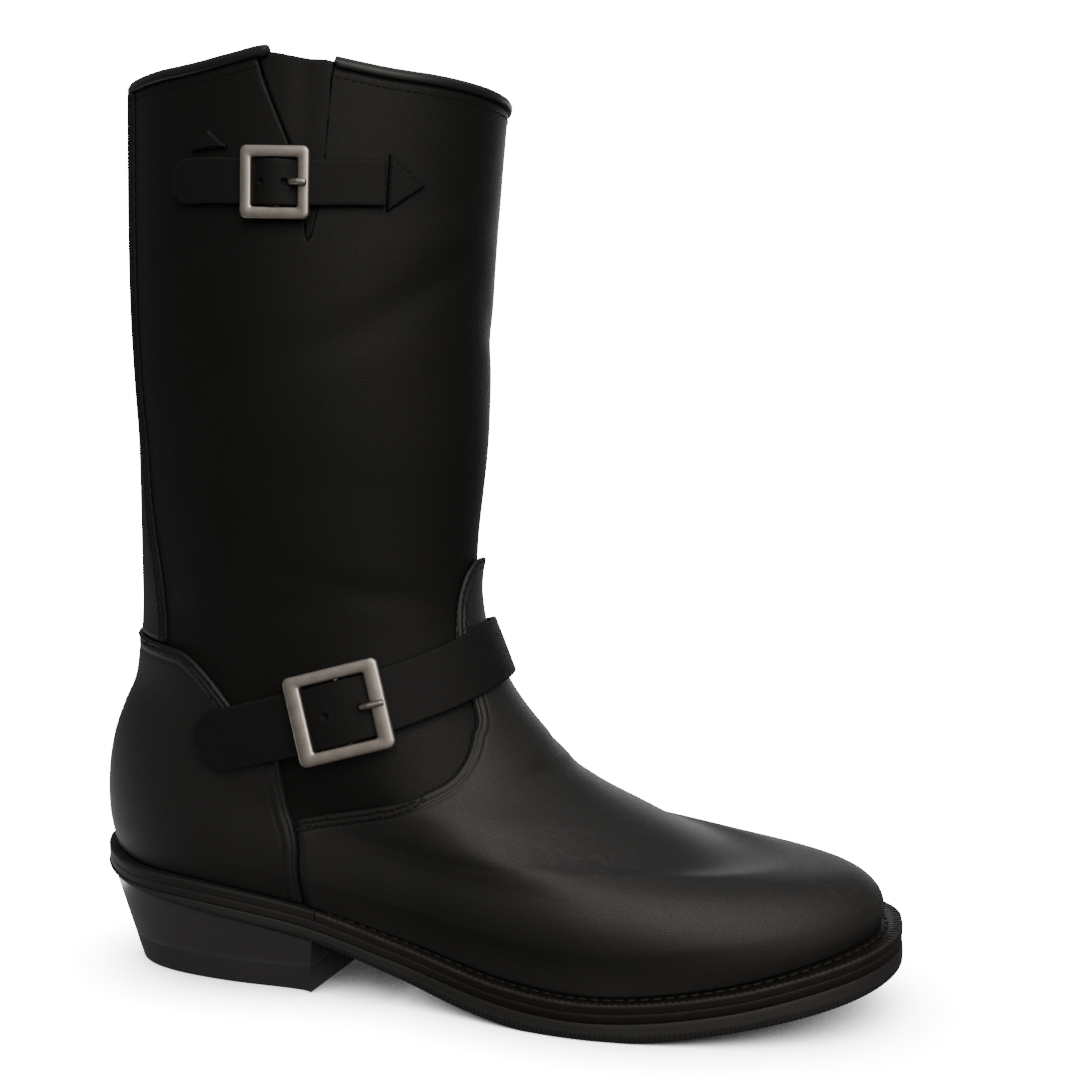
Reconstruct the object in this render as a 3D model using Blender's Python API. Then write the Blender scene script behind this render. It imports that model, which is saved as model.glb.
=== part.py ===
# A pull-on leather boot of the motorcycle kind: tall shaft, stitched welt, underslung heel,
# one buckled strap over the instep and one at the top of the shaft.
# Right boot, toe towards +X, outer side towards -Y, sole on the floor at z = 0.
# Sizes are in millimetres and become metres when a mesh is made.

import math

import bmesh
import bpy
import numpy as np
from mathutils import Matrix, Vector
from mathutils.bvhtree import BVHTree

MM = 0.001

# Driving sizes of the leather
WALL = 2.4              # wall of the upper
LAYER_GAP = 0.5         # air under a curved overlay
OVERLAY = 1.6           # vamp, counter and back stay
BINDING_WIDTH = 4.8     # rolled binding on the collar
BINDING_HEIGHT = 3.4
GUSSET = 1.6            # leather set behind the slot of the collar

# Driving sizes of the sole
GAP = 0.3               # air between flat layers
FOOT_GAP = 0.45         # air between the upper's foot and the welt
WELT = 3.3
MIDSOLE = 3.0
INSOLE_RISE = 2.7       # top of the insole above the welt
WELT_INSIDE = 2.5       # inner edge of the welt, inside the feather line
INSOLE_INSIDE = 3.0     # edge of the insole, inside the feather line
EDGE_CHAMFER = 0.6
LIFT = 10.0             # rubber lift under the heel
BREAST_TOP_X = -59.3
BREAST_FLOOR_X = -60.8
HEEL_INSET = 1.5        # heel block inside the sole's edge at its top
BREAST_SKEW = 0.187     # how far forward the breast runs for each mm towards the inner side
HEEL_SIDE_SLANT = 1.7   # how far the sides draw in down to the floor, at the breast
HEEL_BACK_SLANT = 10.4  # how far the back draws in down to the floor
HEEL_SLANT_POWER = 4.0  # how late the slant of the back fades towards the breast
HEEL_TURNS = (-70.5, 66.0)  # degrees from the back to the inner and the outer corner of the breast
HEEL_CORNER = 12.0      # degrees over which the heel's sides run into the breast
LIFT_FALL = 0.72        # share of the heel's fall at the top of the lift

# Driving sizes of the straps and buckles
INSTEP_STRAP = {"width": 23.0, "thick": 2.6, "clear": 3.1, "lift": 0.9, "steps": 40}
TOP_STRAP = {"width": 15.2, "thick": 2.2, "clear": 0.9, "lift": 2.6, "steps": 10}
INSTEP_BUCKLE = {"length": 35.0, "height": 32.2, "bar": 5.8, "rail": 4.4, "thick": 2.6, "corner": 2.6}
TOP_BUCKLE = {"length": 23.6, "height": 23.8, "bar": 3.9, "rail": 3.9, "thick": 2.2, "corner": 2.2}
CENTRE_BAR = {"width": 3.0, "thick": 1.9, "clear": 0.9}
PRONG = {"radius": 1.1, "reach": 4.0, "slope": 2.5, "drop": 1.2}
PATCH = {"clear": 0.5, "thick": 1.9}

# How finely the meshes are cut
COLUMNS = (0, 9, 18, 27, 36, 45, 54, 63, 71.3, 77.5, 85.5, 93, 102, 112.5,
           122, 132, 142, 152, 161, 170.5, 180)   # angles from the toe, the same on both sides
TOP_STEPS = 3           # rows from the last level section to the collar
FINE_COLUMNS = 180      # fine copy of the upper that straps are laid on
FINE_ROWS = 140
BISECTIONS = 40
STEP = 1e-3             # small step for slopes of the surface
NARROW = 2.0            # columns of an overlay closer than this many degrees become one
LOW_CELL = 0.12         # rows of an overlay closer than this to its edge become the edge

# The last and the shaft: one row for each section from the sole to the collar.
# A section is a loop from a back point to a front point, with half widths at six shares of its length.
SECTION_SHARES = (0.0, 0.15, 0.42, 0.68, 0.88, 1.0)
SECTIONS = np.array([
    # back_x back_z front_x front_z heel_end heel waist ball toe toe_end
    (-146.0, 39.5, 141.6, 29.0, 60.0, 44.5, 29.0, 47.5, 55.0, 58.0),
    (-147.9, 46.0, 143.0, 35.2, 60.0, 46.0, 30.0, 48.5, 55.5, 57.5),
    (-149.4, 54.0, 140.4, 42.0, 59.5, 46.5, 31.0, 49.0, 53.5, 55.0),
    (-149.9, 62.0, 132.2, 47.2, 58.5, 46.5, 32.0, 48.5, 51.0, 52.0),
    (-149.8, 70.0, 114.4, 49.4, 57.0, 46.0, 33.0, 48.0, 49.5, 50.5),
    (-148.8, 80.5, 89.0, 50.8, 54.0, 45.0, 34.0, 47.0, 51.5, 53.0),
    (-146.4, 91.0, 62.7, 62.0, 50.5, 43.5, 35.5, 44.0, 47.0, 49.0),
    (-142.4, 101.0, 37.4, 75.6, 47.0, 42.0, 36.5, 41.0, 43.0, 44.5),
    (-137.6, 111.0, 16.2, 96.9, 43.5, 40.5, 37.0, 39.0, 39.5, 40.5),
    (-135.4, 123.0, 3.2, 116.2, 41.0, 39.5, 37.5, 38.0, 38.5, 39.0),
    (-134.0, 138.0, -4.5, 138.0, 40.0, 39.5, 38.5, 39.0, 40.0, 41.0),
    (-133.2, 163.0, -5.0, 163.0, 42.0, 42.0, 41.5, 42.0, 42.5, 43.0),
    (-132.8, 200.0, -1.0, 200.0, 46.0, 46.0, 46.0, 46.0, 46.0, 46.0),
    (-134.0, 255.0, 1.1, 255.0, 50.5, 50.5, 50.5, 50.5, 50.5, 50.5),
    (-132.6, 327.3, 6.6, 321.5, 52.0, 52.0, 52.0, 52.0, 52.0, 52.0),
])
COLLAR = len(SECTIONS) - 1
LEVEL = COLLAR - 1      # last section below the slot of the collar
ROWS = np.concatenate([(0, 1), np.arange(1.5, 8.5, 0.5), np.arange(9, 12, 0.5), (12, LEVEL)])
SAG_ROWS = 5.0          # sections over which the wall takes up the curve of the sole
SAG_POWER = 1.5
SWING_FROM = 6.0        # section above which the left and right curve fades out
SWING_ROWS = 5.0
COLLAR_RISE = {"angle": (-180, -130, -112, -100, -90, -80, -71, -55, -40, 180),
               "rise": (0.0, 0.0, 1.2, 3.6, 5.8, 4.6, 2.8, 0.4, 0.0, 0.0)}   # the collar lifts beside its slot

# Top of the welt along the boot, the tread below it, and the curved middle line of a right foot
WELT_TOP = {"x": (-160, -140, -100, -62, -28, 12, 45, 90, 130, 160),
            "z": (49.6, 44.6, 40.2, 33.2, 24.2, 15.0, 13.2, 18.2, 27.0, 33.6)}
TREAD = {"x": (-160, -140, -100, -62, -28, 0, 25, 55, 97, 131, 160),
         "z": (41.6, 36.6, 29.4, 21.6, 11.5, 3.2, -0.3, -0.3, 5.5, 12.5, 19.4)}
MIDDLE = {"x": (-160, -70, -25, 30, 90, 150),
          "y": (0.0, 0.0, -3.0, -1.0, 1.0, 1.0)}

# Margin of the sole's edge beyond the feather line, by angle from the toe
MARGIN = {"angle": (0, 25, 45, 66, 85, 100, 114, 135, 180),
          "out": (9.8, 11.0, 8.4, 6.4, 7.2, 6.2, 4.6, 5.0, 6.5)}
WELT_END = 112.5        # angle where the stitched welt gives way to the plain rand of the heel
WELT_END_GAP = 0.1

# Upper edge of the vamp by angle from the toe; its back edge follows the counter down the side seam
VAMP_EDGE = {"angle": (0.0, 9.0, 16.0, 19.5, 22.5, 30.5, 39.5, 54.5, 68.5, 86.0, 108.9),
             "height": (159.0, 157.5, 151.5, 145.0, 136.0, 107.6, 97.4, 85.5, 79.5, 74.2, 66.0)}
SEAM_GAP = 0.6          # degrees between the vamp and the counter
VAMP_COLUMNS = (0.0, 4.5, 9.0, 13.0, 16.0, 19.5, 22.5, 26.5, 30.5, 35.0, 39.5, 46.0)
VAMP_ROWS = ROWS[ROWS < 12]

# Upper edge of the counter by angle from the back, and its front edge along the side seam
COUNTER_EDGE = {"angle": (0.0, 17.0, 32.0, 45.0, 57.0, 66.0, 72.0, 78.2),
                "height": (129.5, 129.0, 128.0, 127.0, 124.0, 114.5, 103.0, 88.0)}
COUNTER_FOOT = 65.0     # angle of the side seam at the welt
SEAM_POWER = 2.2        # how the side seam bends forward up the wall
COUNTER_COLUMNS = (57.0, 61.5, 66.0, 70.0, 74.0, 78.2)
COUNTER_ROWS = np.arange(0, 11.0)

# Half angle of the back stay up the shaft
BACK_STAY = {"height": (125, 150, 178, 210, 260, 330),
             "half": (45.0, 43.0, 35.5, 31.0, 31.0, 31.0)}
STAY_FOOT_GAP = 1.0     # above the counter
STAY_TOP_GAP = 0.4      # below the collar
STAY_COLUMNS = 12
STAY_ROWS = 11

# Slot in the outer side of the collar, and the leather behind it
SLOT = {"angle": (-93.0, -85.5, -81.5, -77.5, -73.0, -71.3),
        "depth": (0.0, 22.0, 32.0, 59.0, 41.0, 0.0)}
GUSSET_ANGLES = np.linspace(-98.0, -66.0, 7)
GUSSET_DROPS = np.linspace(66.0, 0.5, 5)
BINDING_ENDS = (-71.3, 271.0)

# Routes of the straps over the upper: angle and height, from the free tip on the outer side
INSTEP_ROUTE = {"angle": (-122.4, -114, -100.5, -78.5, -63, -41.5, -11.5, 12, 41.5, 63, 90, 118),
                "height": (91.9, 95.2, 100.0, 106.7, 111.0, 117.0, 123.0, 123.4, 117.5, 111.5, 103.5, 94.0)}
TOP_ROUTE = {"angle": (-119.5, -105.5, -85.5, -65, -55.2),
             "height": (290.6, 290.4, 288.6, 288.8, 288.9)}
INSTEP_BUCKLE_ANGLE = -75.3
TOP_BUCKLE_ANGLE = -85.5

# Three-cornered patches that hold the ends of the top strap: angle and height of the corners
FRONT_PATCH = {"angle": (-54.3, -42.0, -54.3), "height": (279.5, 288.9, 299.0)}
BACK_PATCH = {"angle": (-113.5, -101.0, -107.0), "height": (300.6, 301.0, 307.5)}


def spline(knots, values, at):
    """Smooth curve through values[..., k] at knots[k], read at each place of at."""
    knots = np.asarray(knots, float)
    values = np.asarray(values, float)
    at = np.clip(np.asarray(at, float), knots[0], knots[-1])
    at = np.broadcast_to(at, np.broadcast_shapes(at.shape, values.shape[:-1]))
    width = np.diff(knots)
    slope = np.diff(values) / width
    share = width[1:] / (width[1:] + width[:-1])
    tangent = np.empty_like(values)
    tangent[..., 1:-1] = slope[..., :-1] * share + slope[..., 1:] * (1 - share)
    tangent[..., 0] = 1.5 * slope[..., 0] - 0.5 * tangent[..., 1]
    tangent[..., -1] = 1.5 * slope[..., -1] - 0.5 * tangent[..., -2]
    k = np.clip(np.searchsorted(knots, at, side="right") - 1, 0, len(knots) - 2)

    def pick(table, index):
        table = np.broadcast_to(table, index.shape + table.shape[-1:])
        return np.take_along_axis(table, index[..., None], -1)[..., 0]

    span = width[k]
    t = (at - knots[k]) / span
    start = pick(values, k) * (1 + 2 * t) + pick(tangent, k) * span * t
    end = pick(values, k + 1) * (3 - 2 * t) + pick(tangent, k + 1) * span * (t - 1)
    return start * (1 - t) ** 2 + end * t ** 2


def welt_top(x):
    return spline(WELT_TOP["x"], WELT_TOP["z"], x)


def tread(x):
    return np.maximum(spline(TREAD["x"], TREAD["z"], x), 0.0)


def last_point(angle, row):
    """Outer face of the wall. Angle in degrees, 0 at the toe and 90 on the inner side; row 0 at the sole."""
    angle, row = np.broadcast_arrays(np.asarray(angle, float), np.asarray(row, float))
    turn = np.radians(angle)
    section = spline(np.arange(COLLAR + 1), SECTIONS.T, row[..., None])
    back_x, back_z, front_x, front_z = (section[..., k] for k in range(4))
    share = (1 + np.cos(turn)) / 2
    half = spline(SECTION_SHARES, section[..., 4:], share)
    x = back_x + (front_x - back_x) * share
    foot_line = SECTIONS[0, 1] + (SECTIONS[0, 3] - SECTIONS[0, 1]) * share
    sag = np.clip(1 - row / SAG_ROWS, 0, 1) ** SAG_POWER
    z = back_z + (front_z - back_z) * share + (welt_top(x) + FOOT_GAP - foot_line) * sag
    turned = (angle + 180) % 360 - 180
    z = z + spline(COLLAR_RISE["angle"], COLLAR_RISE["rise"], turned) * np.clip(row - LEVEL, 0, 1) ** 2
    swing = np.clip(1 - (row - SWING_FROM) / SWING_ROWS, 0, 1)
    y = spline(MIDDLE["x"], MIDDLE["y"], x) * swing + np.sin(turn) * half
    return np.stack([x, y, z], -1)


def last_normal(angle, row):
    """Outward direction of the wall, level along the feather line."""
    angle, row = np.broadcast_arrays(np.asarray(angle, float), np.asarray(row, float))
    turn = np.degrees(STEP)
    along = last_point(angle + turn, row) - last_point(angle - turn, row)
    rise = last_point(angle, np.minimum(row + STEP, COLLAR)) - last_point(angle, np.maximum(row - STEP, 0))
    normal = np.cross(along, rise)
    normal[..., 2] = np.where(row <= 0, 0.0, normal[..., 2])
    return normal / np.linalg.norm(normal, axis=-1, keepdims=True)


def on_wall(angle, row, out):
    """Point at a distance outside the wall's outer face; the lowest row stays just above the welt."""
    point = last_point(angle, row) + last_normal(angle, row) * out
    lowest = np.broadcast_to(np.asarray(row) <= 0, point.shape[:-1])
    point[..., 2] = np.where(lowest, welt_top(point[..., 0]) + FOOT_GAP, point[..., 2])
    return point


def row_at_height(angle, height):
    """Row where the wall passes a height."""
    angle, height = np.broadcast_arrays(np.asarray(angle, float), np.asarray(height, float))
    low = np.zeros(angle.shape)
    high = np.full(angle.shape, float(COLLAR))
    for _ in range(BISECTIONS):
        middle = (low + high) / 2
        below = last_point(angle, middle)[..., 2] < height
        low = np.where(below, middle, low)
        high = np.where(below, high, middle)
    return (low + high) / 2


def rim_height(angle):
    return last_point(angle, float(COLLAR))[..., 2]


def feather_outline(angle, inside):
    """Plan of the feather line, drawn in."""
    return last_point(angle, 0.0)[..., :2] - last_normal(angle, 0.0)[..., :2] * inside


def sole_outline(angle, inset):
    """Plan of the sole's edge, drawn in by an inset."""
    turned = (np.asarray(angle, float) + 180) % 360 - 180
    margin = spline(MARGIN["angle"], MARGIN["out"], np.abs(turned))
    return feather_outline(angle, (inset - margin)[..., None])


def at_height(plan, height):
    """Points of a plan at the heights that a function of x gives."""
    return np.concatenate([plan, height(plan[..., 0])[..., None]], -1)


def around():
    """Angles of the shared columns all the way around, from the toe by the inner side."""
    half = np.array(COLUMNS, float)
    return np.concatenate([half, 360 - half[-2:0:-1]])


def slotted_columns():
    """Angles of the upper's columns, and how deep the slot of the collar cuts each one."""
    slot = np.array(SLOT["angle"]) + 360
    plain = [a for a in around() if not slot[0] <= a <= slot[-1]]
    angle = np.concatenate([plain, slot])
    depth = np.concatenate([np.zeros(len(plain)), SLOT["depth"]])
    order = np.argsort(angle)
    return angle[order], depth[order]


def overlay_columns(centre, reach, own):
    """Columns of an overlay each way from its middle: the shared ones, and its own where its edge bends."""
    turned = (around() - centre + 180) % 360 - 180
    own = np.array(sorted({side * angle for side in (-1, 1) for angle in own}))
    between = [a for a in turned if abs(a) < reach and np.abs(own - a).min() > NARROW]
    return np.sort(np.concatenate([own, between]))


def finish(name, colour, roughness, metallic=0.0):
    """Material of a sub-part."""
    material = bpy.data.materials.new(name)
    material.use_nodes = True
    shader = material.node_tree.nodes["Principled BSDF"]
    shader.inputs["Base Color"].default_value = (*colour, 1.0)
    shader.inputs["Roughness"].default_value = roughness
    shader.inputs["Metallic"].default_value = metallic
    return material


def add_object(name, bm, material):
    """Turns a closed mesh into a named object with its material."""
    bmesh.ops.recalc_face_normals(bm, faces=bm.faces)
    mesh = bpy.data.meshes.new(name)
    bm.to_mesh(mesh)
    bm.free()
    mesh.materials.append(material)
    mesh.shade_smooth()
    mesh.set_sharp_from_angle(angle=math.radians(40))
    piece = bpy.data.objects.new(name, mesh)
    bpy.context.scene.collection.objects.link(piece)
    return piece


def lay(bm, points):
    return [bm.verts.new(Vector(point) * MM) for point in points]


def add_face(bm, corners):
    """Face over corners, with repeated ones dropped."""
    bm.faces.new(list(dict.fromkeys(corners)))


def join_loops(bm, low, high):
    """Band of faces between two closed loops of one length."""
    for k, corner in enumerate(low):
        m = (k + 1) % len(low)
        add_face(bm, (corner, low[m], high[m], high[k]))


def wall_mesh(inner, outer, ring):
    """Closed wall between two grids of columns; a ring joins its last column to its first."""
    bm = bmesh.new()
    inside = [lay(bm, column) for column in inner]
    outside = [lay(bm, column) for column in outer]
    loops = [near + far[::-1] for near, far in zip(inside, outside)]
    for low, high in zip(loops, loops[1:]):
        join_loops(bm, low, high)
    if ring:
        join_loops(bm, loops[-1], loops[0])
    else:
        rows = len(inside[0])
        for near, far in ((inside[0], outside[0]), (inside[-1], outside[-1])):
            for r in range(rows - 1):
                add_face(bm, (near[r], far[r], far[r + 1], near[r + 1]))
    return bm


def stack_mesh(rings, single_start):
    """Closed solid through level rings, capped by strips from side to side."""
    bm = bmesh.new()
    loops = [lay(bm, ring) for ring in rings]
    for low, high in zip(loops, loops[1:]):
        join_loops(bm, low, high)
    half = len(loops[0]) // 2
    for loop in (loops[0], loops[-1]):
        far = [loop[0]] + loop[:0:-1] if single_start else loop[::-1]
        for k in range(half):
            add_face(bm, (loop[k], loop[k + 1], far[k + 1], far[k]))
    return bm


def tube_mesh(rings):
    """Closed solid through rings of a rod or a bead, with flat ends."""
    bm = bmesh.new()
    loops = [lay(bm, ring) for ring in rings]
    for low, high in zip(loops, loops[1:]):
        join_loops(bm, low, high)
    bm.faces.new(loops[0])
    bm.faces.new(loops[-1])
    return bm


def patch_mesh(angle, row, low, high):
    """Closed overlay on the wall between two distances, over a grid of angles and rows."""
    bm = wall_mesh(on_wall(angle, row, low), on_wall(angle, row, high), False)
    bmesh.ops.remove_doubles(bm, verts=bm.verts, dist=GAP * MM / 10)
    return bm


def below_edge(row, edge):
    """Rows cut off at an edge."""
    edge = edge[:, None]
    return np.where(row[None, :] > edge - LOW_CELL, edge, row[None, :])


def make_upper(material):
    """Hollow wall, open underneath and at the collar, with the slot in its outer side."""
    angles, depth = slotted_columns()
    rim = row_at_height(angles, rim_height(angles) - depth)
    rise = np.linspace(0, 1, TOP_STEPS + 1)[1:]
    rows = np.array([np.concatenate([ROWS, LEVEL + (top - LEVEL) * rise]) for top in rim])
    grid = np.broadcast_to(angles[:, None], rows.shape)
    wall = wall_mesh(on_wall(grid, rows, -WALL), on_wall(grid, rows, 0.0), True)
    return add_object("upper", wall, material)


def side_seam(row):
    """Angle from the back of the seam down each side, along the counter's front edge."""
    corner = COUNTER_EDGE["angle"][-1]
    top = row_at_height(180 + corner, COUNTER_EDGE["height"][-1])
    return COUNTER_FOOT + (corner - COUNTER_FOOT) * np.clip(row / top, 0, 1) ** SEAM_POWER


def make_vamp(material):
    """Front overlay: toe, instep and the tongue that runs up the front of the shaft."""
    back = VAMP_EDGE["angle"][-1]
    foot = 180 - side_seam(0.0) - SEAM_GAP
    angle = overlay_columns(0.0, foot, VAMP_COLUMNS + (back, foot))
    reached = np.clip(angle, -back, back)
    edge = spline(VAMP_EDGE["angle"], VAMP_EDGE["height"], np.abs(reached))
    row = below_edge(VAMP_ROWS, row_at_height(reached, edge))
    seam = 180 - side_seam(row) - SEAM_GAP
    grid = np.clip(angle[:, None], -seam, seam)
    return add_object("vamp", patch_mesh(grid, row, LAYER_GAP, LAYER_GAP + OVERLAY), material)


def make_counter(material):
    """Back overlay around the heel, with its front edges along the side seams."""
    turn = overlay_columns(180.0, COUNTER_EDGE["angle"][-1], COUNTER_COLUMNS)
    edge = spline(COUNTER_EDGE["angle"], COUNTER_EDGE["height"], np.abs(turn))
    row = below_edge(COUNTER_ROWS, row_at_height(180 + turn, edge))
    grid = 180 + np.clip(turn[:, None], -side_seam(row), side_seam(row))
    return add_object("counter", patch_mesh(grid, row, LAYER_GAP, LAYER_GAP + OVERLAY), material)


def make_back_stay(material):
    """Strip up the back of the shaft, wider at its foot."""
    across = np.linspace(-1, 1, STAY_COLUMNS)
    foot_turn = np.abs(across) * BACK_STAY["half"][0]
    foot = spline(COUNTER_EDGE["angle"], COUNTER_EDGE["height"], foot_turn) + STAY_FOOT_GAP
    top = rim_height(180 + across * BACK_STAY["half"][-1]) - STAY_TOP_GAP
    height = foot[:, None] + (top - foot)[:, None] * np.linspace(0, 1, STAY_ROWS)
    angle = 180 + across[:, None] * spline(BACK_STAY["height"], BACK_STAY["half"], height)
    row = row_at_height(angle, height)
    return add_object("back_stay", patch_mesh(angle, row, LAYER_GAP, LAYER_GAP + OVERLAY), material)


def make_gusset(material):
    """Leather that closes the slot from behind."""
    angle, drop = np.meshgrid(GUSSET_ANGLES, GUSSET_DROPS, indexing="ij")
    row = row_at_height(angle, rim_height(angle) - drop)
    behind = -WALL - LAYER_GAP
    return add_object("gusset", patch_mesh(angle, row, behind - GUSSET, behind), material)


def make_binding(material):
    """Rolled leather along the collar, broken at the slot."""
    first, last = BINDING_ENDS
    between = [a for a in around() if first + NARROW < a < last - NARROW or a - 360 > first + NARROW]
    angle = np.sort([a - 360 if a > last else a for a in between] + [first, last])
    rim = on_wall(angle, float(COLLAR), -WALL / 2)
    level = last_normal(angle, float(COLLAR)) * (1, 1, 0)
    turns = np.radians(np.arange(6) * 60 + 30)
    wide = BINDING_WIDTH / 2 * np.cos(turns) / math.cos(math.radians(30))
    tall = GAP + BINDING_HEIGHT / 2 * (1 + np.sin(turns))
    rings = [[point + out * w + np.array((0, 0, t)) for w, t in zip(wide, tall)] for point, out in zip(rim, level)]
    return add_object("collar_binding", tube_mesh(rings), material)


def make_insole(material):
    plan = feather_outline(around(), INSOLE_INSIDE)
    foot = at_height(plan, lambda x: welt_top(x) - WELT + GAP)
    top = at_height(plan, lambda x: welt_top(x) + INSOLE_RISE)
    return add_object("insole", stack_mesh([foot, top], True), material)


def make_ledge(name, first, last, material):
    """Stretch of the ledge around the feather line: the stitched welt or the plain rand of the heel."""
    turned = np.where(around() > last, around() - 360, around())
    between = turned[(turned > first) & (turned < last)]
    angle = np.sort(np.concatenate([between, (first + WELT_END_GAP, last - WELT_END_GAP)]))
    full = sole_outline(angle, 0.0)
    drawn_in = sole_outline(angle, EDGE_CHAMFER)
    inside = feather_outline(angle, WELT_INSIDE)
    levels = (lambda x: welt_top(x) - WELT, lambda x: welt_top(x) - EDGE_CHAMFER, welt_top)
    outer = np.stack([at_height(p, z) for p, z in zip((full, full, drawn_in), levels)], 1)
    inner = np.stack([at_height(inside, z) for z in levels], 1)
    return add_object(name, wall_mesh(inner, outer, False), material)


def make_midsole(material):
    """Leather layer under the welt, its edges softly broken."""
    top = -WELT - GAP
    profile = ((top - MIDSOLE, 1.2), (top - MIDSOLE + 0.7, 0.5), (top - 0.5, 0.5), (top, 1.0))
    rings = [at_height(sole_outline(around(), np.array(inset)), lambda x, down=down: welt_top(x) + down)
             for down, inset in profile]
    return add_object("midsole", stack_mesh(rings, True), material)


def make_outsole(material):
    """Rubber sole with arch, toe spring, a flat spot under the ball and a stepped edge."""
    top = -WELT - MIDSOLE - 2 * GAP
    rings = []
    for inset, rise in ((0.8, 0.0), (-0.5, 0.18), (-0.8, 0.5), (-0.2, 0.84), (0.7, 1.0)):
        plan = sole_outline(around(), np.array(inset))
        rings.append(at_height(plan, lambda x, rise=rise: tread(x) + rise * (welt_top(x) + top - tread(x))))
    return add_object("outsole", stack_mesh(rings, True), material)


def heel_ring(fall, height):
    """Plan of the heel at a share of its fall to the floor, from breast to back to breast."""
    inner, outer = HEEL_TURNS
    between = around() - 180
    turn = np.concatenate([[-outer], between[np.abs(between) < outer], [outer]])
    turn = np.where(turn < 0, turn * -inner / outer, turn)
    limit = np.where(turn < 0, -inner, outer)
    fade = (np.abs(turn) / limit) ** HEEL_SLANT_POWER
    slant = HEEL_BACK_SLANT + (HEEL_SIDE_SLANT - HEEL_BACK_SLANT) * fade
    plan = sole_outline(180 + turn, HEEL_INSET + slant * fall)
    breast = BREAST_TOP_X + (BREAST_FLOOR_X - BREAST_TOP_X) * fall + BREAST_SKEW * (plan[:, 1] - plan[-1, 1])
    corner = np.clip((np.abs(turn) - limit) / HEEL_CORNER + 1, 0, 1)
    plan[:, 0] += (breast - plan[:, 0]) * corner
    return at_height(plan, height)


def level_at(height):
    return lambda x: np.full(np.shape(x), height)


def make_heel_stack(material):
    rings = [
        heel_ring(LIFT_FALL, level_at(LIFT + GAP)),
        heel_ring(LIFT_FALL / 2, lambda x: (tread(x) + LIFT) / 2),
        heel_ring(0.0, lambda x: tread(x) - FOOT_GAP),
    ]
    return add_object("heel_stack", stack_mesh(rings, False), material)


def make_heel_lift(material):
    rings = [heel_ring(1.0, level_at(0.0)), heel_ring(LIFT_FALL, level_at(LIFT))]
    return add_object("heel_lift", stack_mesh(rings, False), material)


def fine_surface():
    """Fine copy of the wall's outer face, for laying straps on it."""
    bm = bmesh.new()
    angle = np.linspace(0, 360, FINE_COLUMNS + 1)[:-1]
    row = np.linspace(0, COLLAR, FINE_ROWS)
    columns = [[bm.verts.new(point) for point in column] for column in last_point(angle[:, None], row[None, :])]
    for here, after in zip(columns, columns[1:] + columns[:1]):
        for r in range(FINE_ROWS - 1):
            bm.faces.new((here[r], after[r], after[r + 1], here[r + 1]))
    bm.normal_update()
    surface = BVHTree.FromBMesh(bm)
    bm.free()
    return surface


class Route:
    """Middle line of a strap over the wall, read by its length from the free tip."""

    def __init__(self, surface, table, points=400):
        self.surface = surface
        self.angle = np.linspace(table["angle"][0], table["angle"][-1], points)
        height = spline(table["angle"], table["height"], self.angle)
        self.points = last_point(self.angle, row_at_height(self.angle, height))
        steps = np.linalg.norm(np.diff(self.points, axis=0), axis=1)
        self.distance = np.concatenate([[0.0], np.cumsum(steps)])
        self.length = self.distance[-1]

    def distance_at(self, angle):
        return np.interp(angle, self.angle, self.distance)

    def seat(self, point):
        """Nearest point of the upper and its outward direction."""
        place, normal, _, _ = self.surface.find_nearest(Vector(point))
        return np.array(place), np.array(normal)

    def point(self, distance):
        return np.array([np.interp(distance, self.distance, self.points[:, k]) for k in range(3)])

    def axes(self, distance):
        """Place on the upper, with the directions along the strap, across it and outwards."""
        place, out = self.seat(self.point(distance))
        along = self.point(min(distance + 1, self.length)) - self.point(max(distance - 1, 0))
        across = np.cross(out, along)
        across = across / np.linalg.norm(across)
        return place, np.column_stack([np.cross(across, out), across, out])

    def section(self, sizes, buckle, window, distance):
        """Underside and upper side of the strap: straight across, and lifted over the buckle's bar."""
        place, axes = self.axes(distance)
        across, out = axes[:, 1], axes[:, 2]
        half = sizes["width"] / 2
        reach = math.sqrt(half ** 2 - (half - distance) ** 2) if distance < half else half
        bump = max(0.0, 1 - ((distance - buckle) / window) ** 2)
        clear = sizes["clear"] + sizes["lift"] * bump
        edges = []
        for side in (-1, 1):
            seat, normal = self.seat(place + across * reach * side)
            edges.append(seat + normal * clear)
        straight = (edges[0] + edges[1]) / 2
        seated = place + out * clear
        middle = straight if (straight - seated) @ out > 0 else seated
        low = np.array([edges[0], middle, edges[1]])
        return low, low + out * sizes["thick"]


def make_strap(name, route, sizes, buckle, window, material):
    """Strap with a rounded tip, lifted where it runs over the middle bar of its buckle."""
    half = sizes["width"] / 2
    tip = [half * (1 - math.cos(math.radians(turn))) for turn in (14, 38, 62)]
    plain = [d for d in np.linspace(half, route.length, sizes["steps"]) if abs(d - buckle) > window + 1]
    over = [buckle + window * share for share in (-1, -0.75, -0.4, 0, 0.4, 0.75, 1)]
    sections = [route.section(sizes, buckle, window, d) for d in sorted(tip + plain + over)]
    lows, highs = zip(*sections)
    return add_object(name, wall_mesh(lows, highs, False), material)


def rounded_rectangle(length, height, corner):
    """Loop of a rectangle with round corners, around its middle."""
    loop = []
    for k, (sx, sy) in enumerate(((1, 1), (-1, 1), (-1, -1), (1, -1))):
        for step in range(4):
            turn = math.radians(90 * k + 30 * step)
            loop.append((sx * (length / 2 - corner) + corner * math.cos(turn),
                         sy * (height / 2 - corner) + corner * math.sin(turn)))
    return loop


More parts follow.
